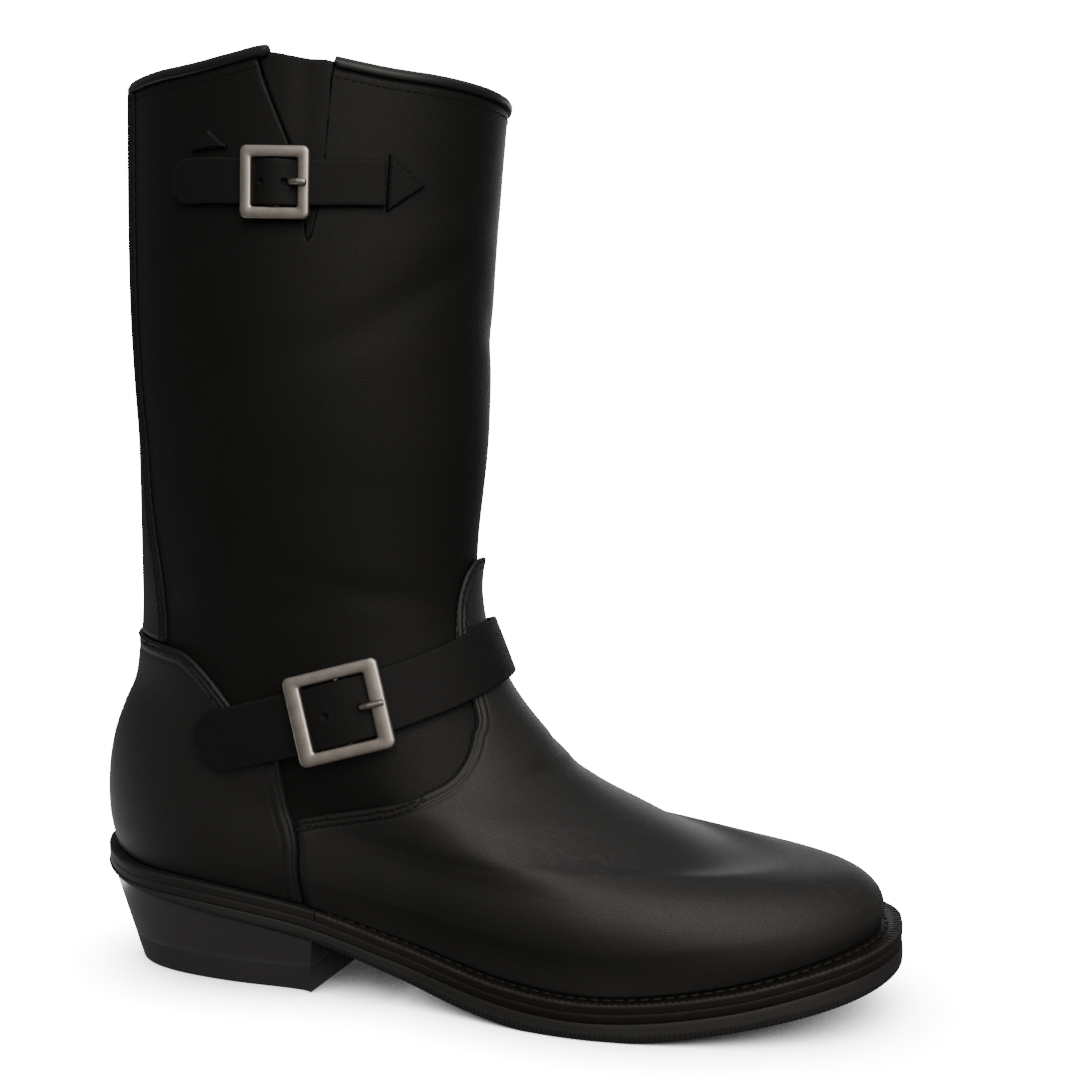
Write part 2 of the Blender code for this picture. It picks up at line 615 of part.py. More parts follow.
def make_buckle(name, route, sizes, strap, buckle, window, material):
    """Flat frame over the strap, with a lower bar across its middle that the strap runs over."""
    place, axes = route.axes(buckle)
    reach = sizes["length"] / 2
    under = []
    for offset in (-reach, sizes["bar"] - reach, reach - sizes["bar"], reach):
        _, high = route.section(strap, buckle, window, buckle + offset)
        under += list((high - place) @ axes[:, 2])
    floor = max(under) + GAP
    top = floor + sizes["thick"]

    def put(points):
        return [axes @ np.array(point) + place for point in points]

    outer = rounded_rectangle(sizes["length"], sizes["height"], sizes["corner"])
    inner = rounded_rectangle(sizes["length"] - 2 * sizes["bar"], sizes["height"] - 2 * sizes["rail"],
                              sizes["corner"] / 3)
    outside = [put(((x, y, floor), (x, y, top))) for x, y in outer]
    inside = [put(((x, y, floor), (x, y, top))) for x, y in inner]
    frame = add_object(name, wall_mesh(inside, outside, True), material)

    end = sizes["height"] / 2 - sizes["rail"] / 4
    stand = end - sizes["rail"] / 2
    low = CENTRE_BAR["clear"]
    bed = low + CENTRE_BAR["thick"]
    middle = (floor + top) / 2
    half = CENTRE_BAR["width"] / 2
    profile = ((-end, low), (end, low), (end, middle), (stand, middle), (stand, bed), (-stand, bed),
               (-stand, middle), (-end, middle))
    bar = add_object(f"{name}_bar", tube_mesh([put([(x, y, z) for y, z in profile]) for x in (-half, half)]),
                     material)
    bar.hide_render = True
    bar.display_type = "WIRE"
    joined = frame.modifiers.new("join", "BOOLEAN")
    joined.operation = "UNION"
    joined.solver = "EXACT"
    joined.object = bar
    return top


def make_prong(name, route, sizes, strap, buckle, window, top, material):
    """Pin that comes up through the strap and rests on the front bar of the buckle."""
    place, axes = route.axes(buckle)
    reach = sizes["length"] / 2
    start = reach - sizes["bar"] - PRONG["reach"]
    _, high = route.section(strap, buckle, window, buckle + start)
    radius = PRONG["radius"]
    rest = top + GAP + radius
    rise = max((high[1] - place) @ axes[:, 2] + GAP + radius, rest - PRONG["drop"])
    line = ((start, rise, 0.9), (start + PRONG["slope"], rest, 1.0), (reach - 1.6, rest, 1.0),
            (reach - 0.4, rest - 0.2, 0.6))
    turns = np.radians(np.arange(6) * 60)
    rings = [[axes @ np.array((x, radius * size * math.cos(t), z + radius * size * math.sin(t))) + place
              for t in turns] for x, z, size in line]
    return add_object(name, tube_mesh(rings), material)


def make_patch(name, corners, material):
    """Three-cornered leather patch on the shaft, its point towards the second corner."""
    angle = np.array(corners["angle"], float)
    height = np.array(corners["height"], float)
    blend = np.linspace(0, 1, 4)[:, None]
    reach = np.array([0.0, 0.5, 0.94])
    side_angle = angle[0] + (angle[2] - angle[0]) * blend
    side_height = height[0] + (height[2] - height[0]) * blend
    grid = side_angle + (angle[1] - side_angle) * reach
    row = row_at_height(grid, side_height + (height[1] - side_height) * reach)
    bm = patch_mesh(grid, row, PATCH["clear"], PATCH["clear"] + PATCH["thick"])
    return add_object(name, bm, material)


def clear_scene():
    for piece in list(bpy.data.objects):
        bpy.data.objects.remove(piece, do_unlink=True)


def stand_over_origin():
    """Moves the boot so that the middle of its box stands over the origin."""
    meshes = [piece for piece in bpy.data.objects if piece.type == "MESH"]
    corners = np.array([vert.co for piece in meshes for vert in piece.data.vertices])
    middle = (corners.min(0) + corners.max(0)) / 2
    shift = Vector((-middle[0], -middle[1], 0.0))
    for piece in meshes:
        piece.data.transform(Matrix.Translation(shift))
    print("box in mm", np.round((corners.max(0) - corners.min(0)) / MM, 2))
    return np.array(shift) / MM


def main():
    clear_scene()
    leather = finish("oiled_black_leather", (0.012, 0.011, 0.010), 0.42)
    trim = finish("strap_leather", (0.011, 0.010, 0.010), 0.45)
    lining = finish("lining_leather", (0.16, 0.12, 0.085), 0.7)
    welt = finish("welt_leather", (0.016, 0.013, 0.011), 0.5)
    midsole = finish("midsole_leather", (0.022, 0.014, 0.010), 0.5)
    rubber = finish("sole_rubber", (0.014, 0.014, 0.014), 0.6)
    heel = finish("heel_leather", (0.013, 0.013, 0.014), 0.3)
    nickel = finish("brushed_nickel", (0.42, 0.38, 0.34), 0.38, 1.0)

    make_upper(leather)
    make_vamp(leather)
    make_counter(leather)
    make_back_stay(leather)
    make_gusset(leather)
    make_binding(leather)
    make_insole(lining)
    make_ledge("welt", -WELT_END, WELT_END, welt)
    make_ledge("heel_rand", WELT_END, 360 - WELT_END, welt)
    make_midsole(midsole)
    make_outsole(rubber)
    make_heel_stack(heel)
    make_heel_lift(rubber)

    surface = fine_surface()
    straps = (
        ("instep", INSTEP_ROUTE, INSTEP_STRAP, INSTEP_BUCKLE, INSTEP_BUCKLE_ANGLE),
        ("top", TOP_ROUTE, TOP_STRAP, TOP_BUCKLE, TOP_BUCKLE_ANGLE),
    )
    for name, table, strap, buckle, angle in straps:
        route = Route(surface, table)
        place = route.distance_at(angle)
        window = buckle["length"] / 2 - buckle["bar"] - 1.0
        make_strap(f"{name}_strap", route, strap, place, window, trim)
        top = make_buckle(f"{name}_buckle", route, buckle, strap, place, window, nickel)
        make_prong(f"{name}_prong", route, buckle, strap, place, window, top, nickel)
    make_patch("top_strap_front_patch", FRONT_PATCH, trim)
    make_patch("top_strap_back_patch", BACK_PATCH, trim)
    return stand_over_origin()


main()
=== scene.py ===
# %% [markdown]
# # A pull-on biker boot
# The boot is black oiled leather over a last, with a stitched welt, an underslung heel and two buckled straps.
# The CAD model gives its sizes. Here each CAD piece is built again with a finer surface, stitches and a finish,
# in the same frame, so a piece goes where the CAD says and nothing has to be fitted by eye.

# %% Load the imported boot
import math

import bmesh
import bpy
import numpy as np
from mathutils import Matrix, Vector
from mathutils.bvhtree import BVHTree
from mathutils.kdtree import KDTree


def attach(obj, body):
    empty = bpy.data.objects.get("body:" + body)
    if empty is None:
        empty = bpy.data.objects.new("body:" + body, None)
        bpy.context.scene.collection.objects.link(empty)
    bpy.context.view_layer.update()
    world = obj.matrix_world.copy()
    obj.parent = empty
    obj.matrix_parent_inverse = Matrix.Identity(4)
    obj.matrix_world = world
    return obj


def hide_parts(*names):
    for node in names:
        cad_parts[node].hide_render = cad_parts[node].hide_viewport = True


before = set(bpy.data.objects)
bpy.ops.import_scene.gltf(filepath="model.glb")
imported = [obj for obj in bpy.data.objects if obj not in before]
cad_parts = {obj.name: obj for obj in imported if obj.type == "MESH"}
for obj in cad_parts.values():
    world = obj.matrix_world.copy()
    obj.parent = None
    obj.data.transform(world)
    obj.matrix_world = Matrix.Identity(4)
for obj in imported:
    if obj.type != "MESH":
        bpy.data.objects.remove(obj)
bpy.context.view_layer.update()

# %% [markdown]
# ## The camera
# The photograph was taken from the outer side, a little in front of the boot and a little above its middle.
# The lens follows from the way the boot shrinks towards its far edges. Depth of field stays off.

# %% Camera
TILT, TURN_LEFT = 84.3, 11.0
camera = bpy.data.objects.new("camera", bpy.data.cameras.new("camera"))
bpy.context.scene.collection.objects.link(camera)
camera.location = (0.11715, -0.49917, 0.2168)
camera.rotation_euler = (math.radians(TILT), 0.0, math.radians(TURN_LEFT))
camera.data.lens = 46.667
camera.data.sensor_width = 36.0
camera.data.clip_start = 0.01
bpy.context.scene.camera = camera
print("camera", round(camera.location.length, 3), "m from the origin")

# %% [markdown]
# ## The last
# A shoe is built on a last, and every piece of leather here lies on one function of it: an angle around the foot
# and a row up from the sole give a point. The sizes repeat the CAD source in millimetres, with the small shift
# that stands the boot over the origin. A sculpted mesh would do for one piece, but the function lets an overlay,
# a strap and a row of stitches find the same surface.

# %% Sizes of the last
MM = 0.001
SHIFT = np.array((0.550, 2.728, 0.0))
WALL = 2.4
FOOT_GAP = 0.45
SECTION_SHARES = (0.0, 0.15, 0.42, 0.68, 0.88, 1.0)
SECTIONS = np.array([
    # back_x back_z front_x front_z heel_end heel waist ball toe toe_end
    (-146.0, 39.5, 141.6, 29.0, 60.0, 44.5, 29.0, 47.5, 55.0, 58.0),
    (-147.9, 46.0, 143.0, 35.2, 60.0, 46.0, 30.0, 48.5, 55.5, 57.5),
    (-149.4, 54.0, 140.4, 42.0, 59.5, 46.5, 31.0, 49.0, 53.5, 55.0),
    (-149.9, 62.0, 132.2, 47.2, 58.5, 46.5, 32.0, 48.5, 51.0, 52.0),
    (-149.8, 70.0, 114.4, 49.4, 57.0, 46.0, 33.0, 48.0, 49.5, 50.5),
    (-148.8, 80.5, 89.0, 50.8, 54.0, 45.0, 34.0, 47.0, 51.5, 53.0),
    (-146.4, 91.0, 62.7, 62.0, 50.5, 43.5, 35.5, 44.0, 47.0, 49.0),
    (-142.4, 101.0, 37.4, 75.6, 47.0, 42.0, 36.5, 41.0, 43.0, 44.5),
    (-137.6, 111.0, 16.2, 96.9, 43.5, 40.5, 37.0, 39.0, 39.5, 40.5),
    (-135.4, 123.0, 3.2, 116.2, 41.0, 39.5, 37.5, 38.0, 38.5, 39.0),
    (-134.0, 138.0, -4.5, 138.0, 40.0, 39.5, 38.5, 39.0, 40.0, 41.0),
    (-133.2, 163.0, -5.0, 163.0, 42.0, 42.0, 41.5, 42.0, 42.5, 43.0),
    (-132.8, 200.0, -1.0, 200.0, 46.0, 46.0, 46.0, 46.0, 46.0, 46.0),
    (-134.0, 255.0, 1.1, 255.0, 50.5, 50.5, 50.5, 50.5, 50.5, 50.5),
    (-132.6, 327.3, 6.6, 321.5, 52.0, 52.0, 52.0, 52.0, 52.0, 52.0),
])
COLLAR = len(SECTIONS) - 1
LEVEL = COLLAR - 1
SAG_ROWS = 5.0
STRAIGHT_ROWS = 6.0
SWING_ROWS = 5.0
COLLAR_RISE = ((-180, -130, -112, -100, -90, -80, -71, -55, -40, 180),
               (0.0, 0.0, 1.2, 3.6, 5.8, 4.6, 2.8, 0.4, 0.0, 0.0))
WELT_TOP = ((-160, -140, -100, -62, -28, 12, 45, 90, 130, 160),
            (49.6, 44.6, 40.2, 33.2, 24.2, 15.0, 13.2, 18.2, 27.0, 33.6))
TREAD = ((-160, -140, -100, -62, -28, 0, 25, 55, 97, 131, 160),
         (41.6, 36.6, 29.4, 21.6, 11.5, 3.2, -0.3, -0.3, 5.5, 12.5, 19.4))
MIDDLE = ((-160, -70, -25, 30, 90, 150), (0.0, 0.0, -3.0, -1.0, 1.0, 1.0))
print(COLLAR + 1, "sections from sole to collar")


# %% Smooth curve through a table
def curve(table, at):
    """Smooth curve through values at knots, read at each place of at; the values may have rows."""
    knots, values = np.asarray(table[0], float), np.asarray(table[1], float)
    at = np.clip(np.asarray(at, float), knots[0], knots[-1])
    at = np.broadcast_to(at, np.broadcast_shapes(at.shape, values.shape[:-1]))
    width = np.diff(knots)
    slope = np.diff(values) / width
    share = width[1:] / (width[1:] + width[:-1])
    tangent = np.empty_like(values)
    tangent[..., 1:-1] = slope[..., :-1] * share + slope[..., 1:] * (1 - share)
    tangent[..., 0] = 1.5 * slope[..., 0] - 0.5 * tangent[..., 1]
    tangent[..., -1] = 1.5 * slope[..., -1] - 0.5 * tangent[..., -2]
    k = np.clip(np.searchsorted(knots, at, side="right") - 1, 0, len(knots) - 2)

    def pick(row, index):
        row = np.broadcast_to(row, index.shape + row.shape[-1:])
        return np.take_along_axis(row, index[..., None], -1)[..., 0]

    t = (at - knots[k]) / width[k]
    start = pick(values, k) * (1 + 2 * t) + pick(tangent, k) * width[k] * t
    end = pick(values, k + 1) * (3 - 2 * t) + pick(tangent, k + 1) * width[k] * (t - 1)
    return start * (1 - t) ** 2 + end * t ** 2


def turned(angle):
    """The same angle between -180 and 180."""
    return (angle + 180) % 360 - 180


# %% The outer face of the last
def last_point(angle, row):
    """Angle in degrees, 0 at the toe and -90 on the outer side; row 0 at the sole, COLLAR at the top."""
    angle, row = np.broadcast_arrays(np.asarray(angle, float), np.asarray(row, float))
    turn = np.radians(angle)
    section = curve((np.arange(COLLAR + 1), SECTIONS.T), row[..., None])
    back_x, back_z, front_x, front_z = (section[..., k] for k in range(4))
    share = (1 + np.cos(turn)) / 2
    half = curve((SECTION_SHARES, section[..., 4:]), share)
    x = back_x + (front_x - back_x) * share
    foot_line = SECTIONS[0, 1] + (SECTIONS[0, 3] - SECTIONS[0, 1]) * share
    sag = np.clip(1 - row / SAG_ROWS, 0, 1) ** 1.5
    z = back_z + (front_z - back_z) * share + (curve(WELT_TOP, x) + FOOT_GAP - foot_line) * sag
    z = z + curve(COLLAR_RISE, turned(angle)) * np.clip(row - LEVEL, 0, 1) ** 2
    swing = np.clip(1 - (row - STRAIGHT_ROWS) / SWING_ROWS, 0, 1)
    y = curve(MIDDLE, x) * swing + np.sin(turn) * half
    return np.stack([x, y, z], -1)


def last_normal(angle, row):
    """Outward direction of the wall, level along the feather line."""
    angle, row = np.broadcast_arrays(np.asarray(angle, float), np.asarray(row, float))
    turn_step, row_step = 0.06, 1e-3
    along = last_point(angle + turn_step, row) - last_point(angle - turn_step, row)
    rise = last_point(angle, np.minimum(row + row_step, COLLAR)) - last_point(angle, np.maximum(row - row_step, 0))
    normal = np.cross(along, rise)
    normal[..., 2] = np.where(row <= 0, 0.0, normal[..., 2])
    return normal / np.linalg.norm(normal, axis=-1, keepdims=True)


def row_at_height(angle, height):
    """Row where the wall passes a height, found by halving."""
    angle, height = np.broadcast_arrays(np.asarray(angle, float), np.asarray(height, float))
    low, high = np.zeros(angle.shape), np.full(angle.shape, float(COLLAR))
    for _ in range(26):
        middle = (low + high) / 2
        below = last_point(angle, middle)[..., 2] < height
        low, high = np.where(below, middle, low), np.where(below, high, middle)
    return (low + high) / 2


print("ball over the last, mm", round(float(np.ptp(last_point(np.arange(360.0), 2.0)[:, 1])), 1))

# %% [markdown]
# ## Creases
# Worn leather keeps soft troughs where it bends. Each one here is listed with its place on the last, its
# length and width, its depth and its slant. A trough has a low ridge beside it, because leather that is pushed
# in on one side comes out on the other. A depth below zero stands out instead: the two long ones low on the sides
# are the fullness of the foot above the welt. All pieces on the wall take the same creases, so none comes loose.

# %% Creases in the boot's own sizes
CREASES = (
    # angle, height, half length, half width, depth, slant in degrees; lengths in mm
    (-38.0, 255.0, 26.0, 7.0, 0.9, 32.0),
    (-30.0, 275.0, 24.0, 9.0, -0.6, 24.0),
    (-62.0, 238.0, 30.0, 9.0, 0.5, 18.0),
    (-90.0, 190.0, 60.0, 16.0, 0.5, -12.0),
    (30.0, 230.0, 34.0, 10.0, 1.0, -28.0),
    (80.0, 205.0, 48.0, 13.0, 0.8, 15.0),
    (-6.0, 86.0, 20.0, 3.0, 0.9, 8.0),
    (8.0, 80.0, 26.0, 4.0, 0.6, -6.0),
    (-80.0, 40.5, 32.0, 19.0, -5.0, -20.0),
    (80.0, 40.5, 32.0, 19.0, -3.0, 20.0),
    (-40.0, 77.0, 26.0, 7.0, 0.25, 30.0),
    (-58.0, 60.0, 22.0, 9.0, 0.12, 38.0),
    (48.0, 66.0, 24.0, 5.0, 0.5, -34.0),
    (-100.0, 142.0, 34.0, 6.0, 0.5, 8.0),
    (-60.0, 150.0, 30.0, 6.0, 0.5, -14.0),
    (95.0, 146.0, 36.0, 7.0, 0.7, -10.0),
    (160.0, 140.0, 30.0, 6.0, 0.6, 4.0),
)
MM_PER_DEGREE = 0.85
SIDE_RIDGE = 0.7
CREASE_FADE_ROWS = 1.5


def crease(angle, point):
    """How far the leather is drawn in at a point of the wall, in mm."""
    depth = np.zeros(point.shape[:-1])
    for centre, height, length, width, deep, slant in CREASES:
        around = turned(angle - centre) * MM_PER_DEGREE
        up = point[..., 2] - height
        cos, sin = math.cos(math.radians(slant)), math.sin(math.radians(slant))
        along, across = around * cos + up * sin, (up * cos - around * sin) / width
        depth += deep * np.exp(-(along / length) ** 2) * (1 - SIDE_RIDGE * across ** 2) * np.exp(-across ** 2)
    return depth


def wall(angle, row, out=0.0):
    """Point at a distance outside the wall, with its creases; the lowest row stays just above the welt."""
    point = last_point(angle, row)
    fade = np.clip(np.asarray(row) / CREASE_FADE_ROWS, 0, 1)
    reach = out - crease(np.asarray(angle, float), point) * fade
    point = point + last_normal(angle, row) * np.asarray(reach)[..., None]
    lowest = np.broadcast_to(np.asarray(row) <= 0, point.shape[:-1])
    point[..., 2] = np.where(lowest, curve(WELT_TOP, point[..., 0]) + FOOT_GAP, point[..., 2])
    return point


print(len(CREASES), "creases placed by hand")

# %% [markdown]
# ## Node groups for the finishes
# Several leathers share the same grain, and most surfaces share the same faint dust and edge wear; on the welt the
# edge wear is raised into a painted highlight along its top edge. Each effect is a node group, built once and
# placed in each material with its own values. A group puts out masks and heights that change over the surface;
# the shader stays in the material.


# %% Helpers for node trees
def link(source, target):
    """A socket knows its own tree, so no helper has to be told."""
    source.id_data.links.new(source, target)


def node(tree, kind, **settings):
    """Shader node; a setting is an input's value, a socket that feeds the input, or a property of the node."""
    made = tree.nodes.new("ShaderNode" + kind)
    for name, value in settings.items():
        label = name.replace("_", " ")
        if label not in made.inputs:
            setattr(made, name, value)
        elif isinstance(value, bpy.types.NodeSocket):
            link(value, made.inputs[label])
        else:
            made.inputs[label].default_value = value
    return made


def sums(operation, *values):
    """Math node of two sockets or numbers."""
    tree = next(value.id_data for value in values if not isinstance(value, float))
    made = node(tree, "Math", operation=operation)
    for socket, value in zip(made.inputs, values):
        if isinstance(value, float):
            socket.default_value = value
        else:
            link(value, socket)
    return made.outputs[0]


def times(first, second):
    return sums("MULTIPLY", first, second)


def above(value, least):
    """What a value has over a least one, else 0."""
    return sums("MAXIMUM", sums("SUBTRACT", value, least), 0.0)


def place_on(tree):
    """Place on the piece, in its own coordinates."""
    return node(tree, "TexCoord").outputs["Object"]


def stretched(spot, scale, turn=(0.0, 0.0, 0.0)):
    """Place that is turned and stretched, for streaks and layers."""
    return node(spot.id_data, "Mapping", Vector=spot, Scale=scale, Rotation=turn).outputs[0]


def facing_up(tree):
    """1 on what faces up, -1 on what faces down."""
    normal = node(tree, "NewGeometry").outputs["Normal"]
    return node(tree, "SeparateXYZ", Vector=normal).outputs["Z"]


def new_group(name, inputs, outputs):
    """Empty node group with named float inputs and outputs."""
    tree = bpy.data.node_groups.new(name, "ShaderNodeTree")
    for label, value in inputs.items():
        socket = tree.interface.new_socket(label, in_out="INPUT", socket_type="NodeSocketFloat")
        socket.default_value = value
    for label in outputs:
        tree.interface.new_socket(label, in_out="OUTPUT", socket_type="NodeSocketFloat")
    return tree, tree.nodes.new("NodeGroupInput").outputs, tree.nodes.new("NodeGroupOutput").inputs


# %% Leather grain: fine cells, pores and slow mottling
def make_grain():
    tree, into, out = new_group("hide_grain", {"Cells": 900.0, "Mottle": 26.0}, ("Height", "Pores", "Mottling"))
    spot = place_on(tree)
    bend = node(tree, "TexNoise", Vector=spot, Scale=160.0, Detail=2.0)
    bent = node(tree, "VectorMath", operation="MULTIPLY_ADD")
    link(bend.outputs["Color"], bent.inputs[0])
    bent.inputs[1].default_value = (0.0016,) * 3
    link(spot, bent.inputs[2])
    cells = node(tree, "TexVoronoi", feature="SMOOTH_F1", Smoothness=0.6, Vector=bent.outputs[0],
                 Scale=times(into["Cells"], 1.0))
    lines = node(tree, "TexVoronoi", feature="DISTANCE_TO_EDGE", Vector=bent.outputs[0],
                 Scale=times(into["Cells"], 0.5))
    wrinkle = sums("MINIMUM", times(lines.outputs["Distance"], 4.0), 1.0)
    pebble = sums("SUBTRACT", 1.0, cells.outputs["Distance"])
    link(sums("ADD", times(pebble, 0.55), times(wrinkle, 0.45)), out["Height"])
    link(sums("SUBTRACT", 1.0, wrinkle), out["Pores"])
    slow = node(tree, "TexNoise", Vector=spot, Scale=into["Mottle"], Detail=5.0, Roughness=0.62)
    link(slow.outputs["Fac"], out["Mottling"])
    return tree


# %% Edge wear from a piece's own rim attribute, on the welt a painted highlight, and dust that settles on what faces up
def make_wear():
    tree, into, out = new_group("edge_wear_and_highlight", {"Amount": 0.6, "Breakup": 220.0}, ("Worn",))
    rim = node(tree, "Attribute", attribute_name="rim")
    patch = node(tree, "TexNoise", Vector=place_on(tree), Scale=into["Breakup"], Detail=4.0)
    broken = times(rim.outputs["Fac"], times(patch.outputs["Fac"], 1.6))
    link(times(sums("MINIMUM", broken, 1.0), into["Amount"]), out["Worn"])
    return tree


def make_dust():
    tree, into, out = new_group("settled_dust", {"Amount": 0.3, "Size": 320.0}, ("Dust",))
    specks = node(tree, "TexNoise", Vector=place_on(tree), Scale=into["Size"], Detail=6.0, Roughness=0.7)
    up = sums("MAXIMUM", facing_up(tree), 0.0)
    link(times(times(up, above(specks.outputs["Fac"], 0.48)), into["Amount"]), out["Dust"])
    return tree


# %% Scuffs: short rubbed streaks around one place
def make_scuff():
    tree, into, out = new_group("scuff_marks", {"X": 0.0, "Y": 0.0, "Z": 0.0, "Reach": 0.02}, ("Scuff",))
    spot = place_on(tree)
    centre = node(tree, "CombineXYZ", **{axis: into[axis] for axis in "XYZ"})
    away = node(tree, "VectorMath", operation="DISTANCE")
    link(spot, away.inputs[0])
    link(centre.outputs[0], away.inputs[1])
    share = sums("DIVIDE", away.outputs["Value"], into["Reach"])
    near = sums("MAXIMUM", sums("SUBTRACT", 1.0, share), 0.0)
    streaks = stretched(spot, (70.0, 300.0, 420.0), (0.0, math.radians(14), math.radians(6)))
    rubbed = node(tree, "TexNoise", Vector=streaks, Scale=1.0, Detail=5.0, Roughness=0.65)
    link(times(times(near, above(rubbed.outputs["Fac"], 0.52)), 4.0), out["Scuff"])
    return tree


GROUPS = {tree.name: tree for tree in (make_grain(), make_wear(), make_dust(), make_scuff())}
print("node groups:", ", ".join(GROUPS))


# %% [markdown]
# ## Leather
# Oiled leather is nearly black, with a soft satin gloss that breaks up where the hide is slack and where hands and
# boots have rubbed it. The colour stays very dark and the look comes from roughness and a fine bump. The vamp is
# pulled tight over the last, so its grain is finer and its gloss closer than the shaft's.


# %% Building blocks of a material
def new_finish(name, **sockets):
    """Material with a Principled shader whose constant values are set on its own sockets."""
    material = bpy.data.materials.new(name)
    material.use_nodes = True
    shader = material.node_tree.nodes["Principled BSDF"]
    for label, value in sockets.items():
        shader.inputs[label.replace("_", " ")].default_value = value
    return material, material.node_tree, shader


def use_group(tree, name, **values):
    return node(tree, "Group", node_tree=GROUPS[name], **values).outputs


def blend(mask, low, high):
    """Colour that goes from low to high with a mask; each is a colour or a socket."""
    mix = node(mask.id_data, "Mix", data_type="RGBA", Factor=mask)
    for socket, value in ((mix.inputs[6], low), (mix.inputs[7], high)):
        if isinstance(value, tuple):
            socket.default_value = (*value, 1.0)
        else:
            link(value, socket)
    return mix.outputs[2]


def spread(value, low, high, **settings):
    """Value from 0 to 1, or from another range in the settings, mapped to low to high."""
    return node(value.id_data, "MapRange", Value=value, To_Min=low, To_Max=high, **settings).outputs["Result"]


def dress(shader, colour, rough, height, distance, strength):
    """Colour, roughness and relief of a shader; distance is the height of the relief in metres."""
    bumped = node(height.id_data, "Bump", Strength=strength, Distance=distance, Height=height)
    link(colour, shader.inputs["Base Color"])
    link(rough, shader.inputs["Roughness"])
    link(bumped.outputs["Normal"], shader.inputs["Normal"])


# %% Black leathers
RUBBED_EDGE = (0.030, 0.028, 0.025)
SCUFFED = (0.06, 0.057, 0.053)
LEATHER_DUST = (0.16, 0.15, 0.14)


def black_leather(name, dark, light, gloss, cells, grain, worn=0.2, shine=0.17, scuffs=()):
    """Oiled black hide: gloss gives the roughness range, grain the height of the bump in mm."""
    material, tree, shader = new_finish(name, Specular_IOR_Level=shine)
    hide = use_group(tree, "hide_grain", Cells=cells)
    wear = use_group(tree, "edge_wear_and_highlight", Amount=worn)["Worn"]
    dusty = use_group(tree, "settled_dust", Amount=0.10)["Dust"]
    colour = blend(hide["Mottling"], dark, light)
    colour = blend(times(hide["Pores"], 0.2), colour, tuple(0.45 * c for c in dark))
    colour = blend(wear, colour, RUBBED_EDGE)
    rough = sums("ADD", spread(hide["Mottling"], *gloss), times(hide["Pores"], 0.05))
    for x, y, z, reach in scuffs:
        mark = use_group(tree, "scuff_marks", X=x, Y=y, Z=z, Reach=reach)["Scuff"]
        colour = blend(sums("MINIMUM", times(mark, 0.40), 0.5), colour, SCUFFED)
        rough = sums("ADD", rough, times(mark, 0.15))
    colour = blend(dusty, colour, LEATHER_DUST)
    dress(shader, colour, sums("MINIMUM", rough, 0.9), hide["Height"], grain * MM, 0.55)
    return material


shaft_hide = black_leather("shaft_hide", (0.0036, 0.0036, 0.0033), (0.0064, 0.0063, 0.0057),
                           (0.50, 0.64), 2000.0, 0.10, shine=0.13)
vamp_hide = black_leather("vamp_hide", (0.0050, 0.0048, 0.0045), (0.0085, 0.0080, 0.0074),
                          (0.50, 0.64), 2200.0, 0.08, worn=0.04, shine=0.36,
                          scuffs=((0.0300, -0.0400, 0.0595, 0.020), (0.0450, -0.0375, 0.0565, 0.022),
                                  (0.1280, -0.0100, 0.0470, 0.016)))
counter_hide = black_leather("counter_hide", (0.0045, 0.0043, 0.0040), (0.0076, 0.0073, 0.0067),
                             (0.48, 0.62), 2100.0, 0.09, worn=0.04, shine=0.28)
stay_hide = black_leather("stay_hide", (0.0045, 0.0044, 0.0041), (0.0076, 0.0073, 0.0067),
                          (0.46, 0.60), 1300.0, 0.12)
strap_hide = black_leather("strap_hide", (0.0056, 0.0056, 0.0055), (0.0090, 0.0089, 0.0085),
                           (0.54, 0.68), 2300.0, 0.08, shine=0.09)
binding_hide = black_leather("binding_hide", (0.0045, 0.0044, 0.0041), (0.0080, 0.0075, 0.0068),
                             (0.38, 0.50), 2700.0, 0.04, shine=0.3)
print("leathers made")

# %% [markdown]
# ## Lining, thread, sole and metal
# The lining is undyed hide, dry and pale. The edges of the welt and midsole are waxed dark brown leather, blacker
# towards the heel. The sole is matt rubber with a moulded skin, the heel block is waxed and burnished, and the
# buckles are brushed nickel whose fine lines run one way. Each gets colour change, roughness change and relief at
# its own scale.


# %% Lining and thread
def plain_hide(name, dark, light, gloss, cells, grain):
    material, tree, shader = new_finish(name)
    hide = use_group(tree, "hide_grain", Cells=cells, Mottle=18.0)
    colour = blend(hide["Mottling"], dark, light)
    colour = blend(times(hide["Pores"], 0.5), colour, tuple(0.6 * c for c in dark))
    dress(shader, colour, spread(hide["Mottling"], *gloss), hide["Height"], grain * MM, 0.5)
    return material


def twisted_thread(name, dark, light):
    """Waxed thread: fine twist lines across the stitch."""
    material, tree, shader = new_finish(name, Specular_IOR_Level=0.12)
    wave = node(tree, "TexWave", Vector=place_on(tree), Scale=900.0, Distortion=3.0, Detail=1.0,
                bands_direction="DIAGONAL")
    twist = wave.outputs["Fac"]
    dress(shader, blend(twist, dark, light), spread(twist, 0.42, 0.62), twist, 0.0001, 0.5)
    return material


lining_hide = plain_hide("lining_hide", (0.085, 0.060, 0.040), (0.150, 0.108, 0.072), (0.60, 0.80), 700.0, 0.12)
sock_hide = plain_hide("sock_hide", (0.070, 0.052, 0.036), (0.120, 0.090, 0.062), (0.55, 0.78), 800.0, 0.10)
black_thread = twisted_thread("black_thread", (0.0035, 0.0035, 0.0034), (0.0105, 0.0100, 0.0094))
welt_thread = twisted_thread("welt_thread", (0.0055, 0.0050, 0.0044), (0.0150, 0.0135, 0.0118))
print("lining and threads made")

# %% Waxed edges of welt and midsole, and the burnished heel
EDGE_DUST = (0.06, 0.056, 0.05)
HEEL_BLEND = {"From_Min": -0.060, "From_Max": 0.030, "interpolation_type": "SMOOTHSTEP"}


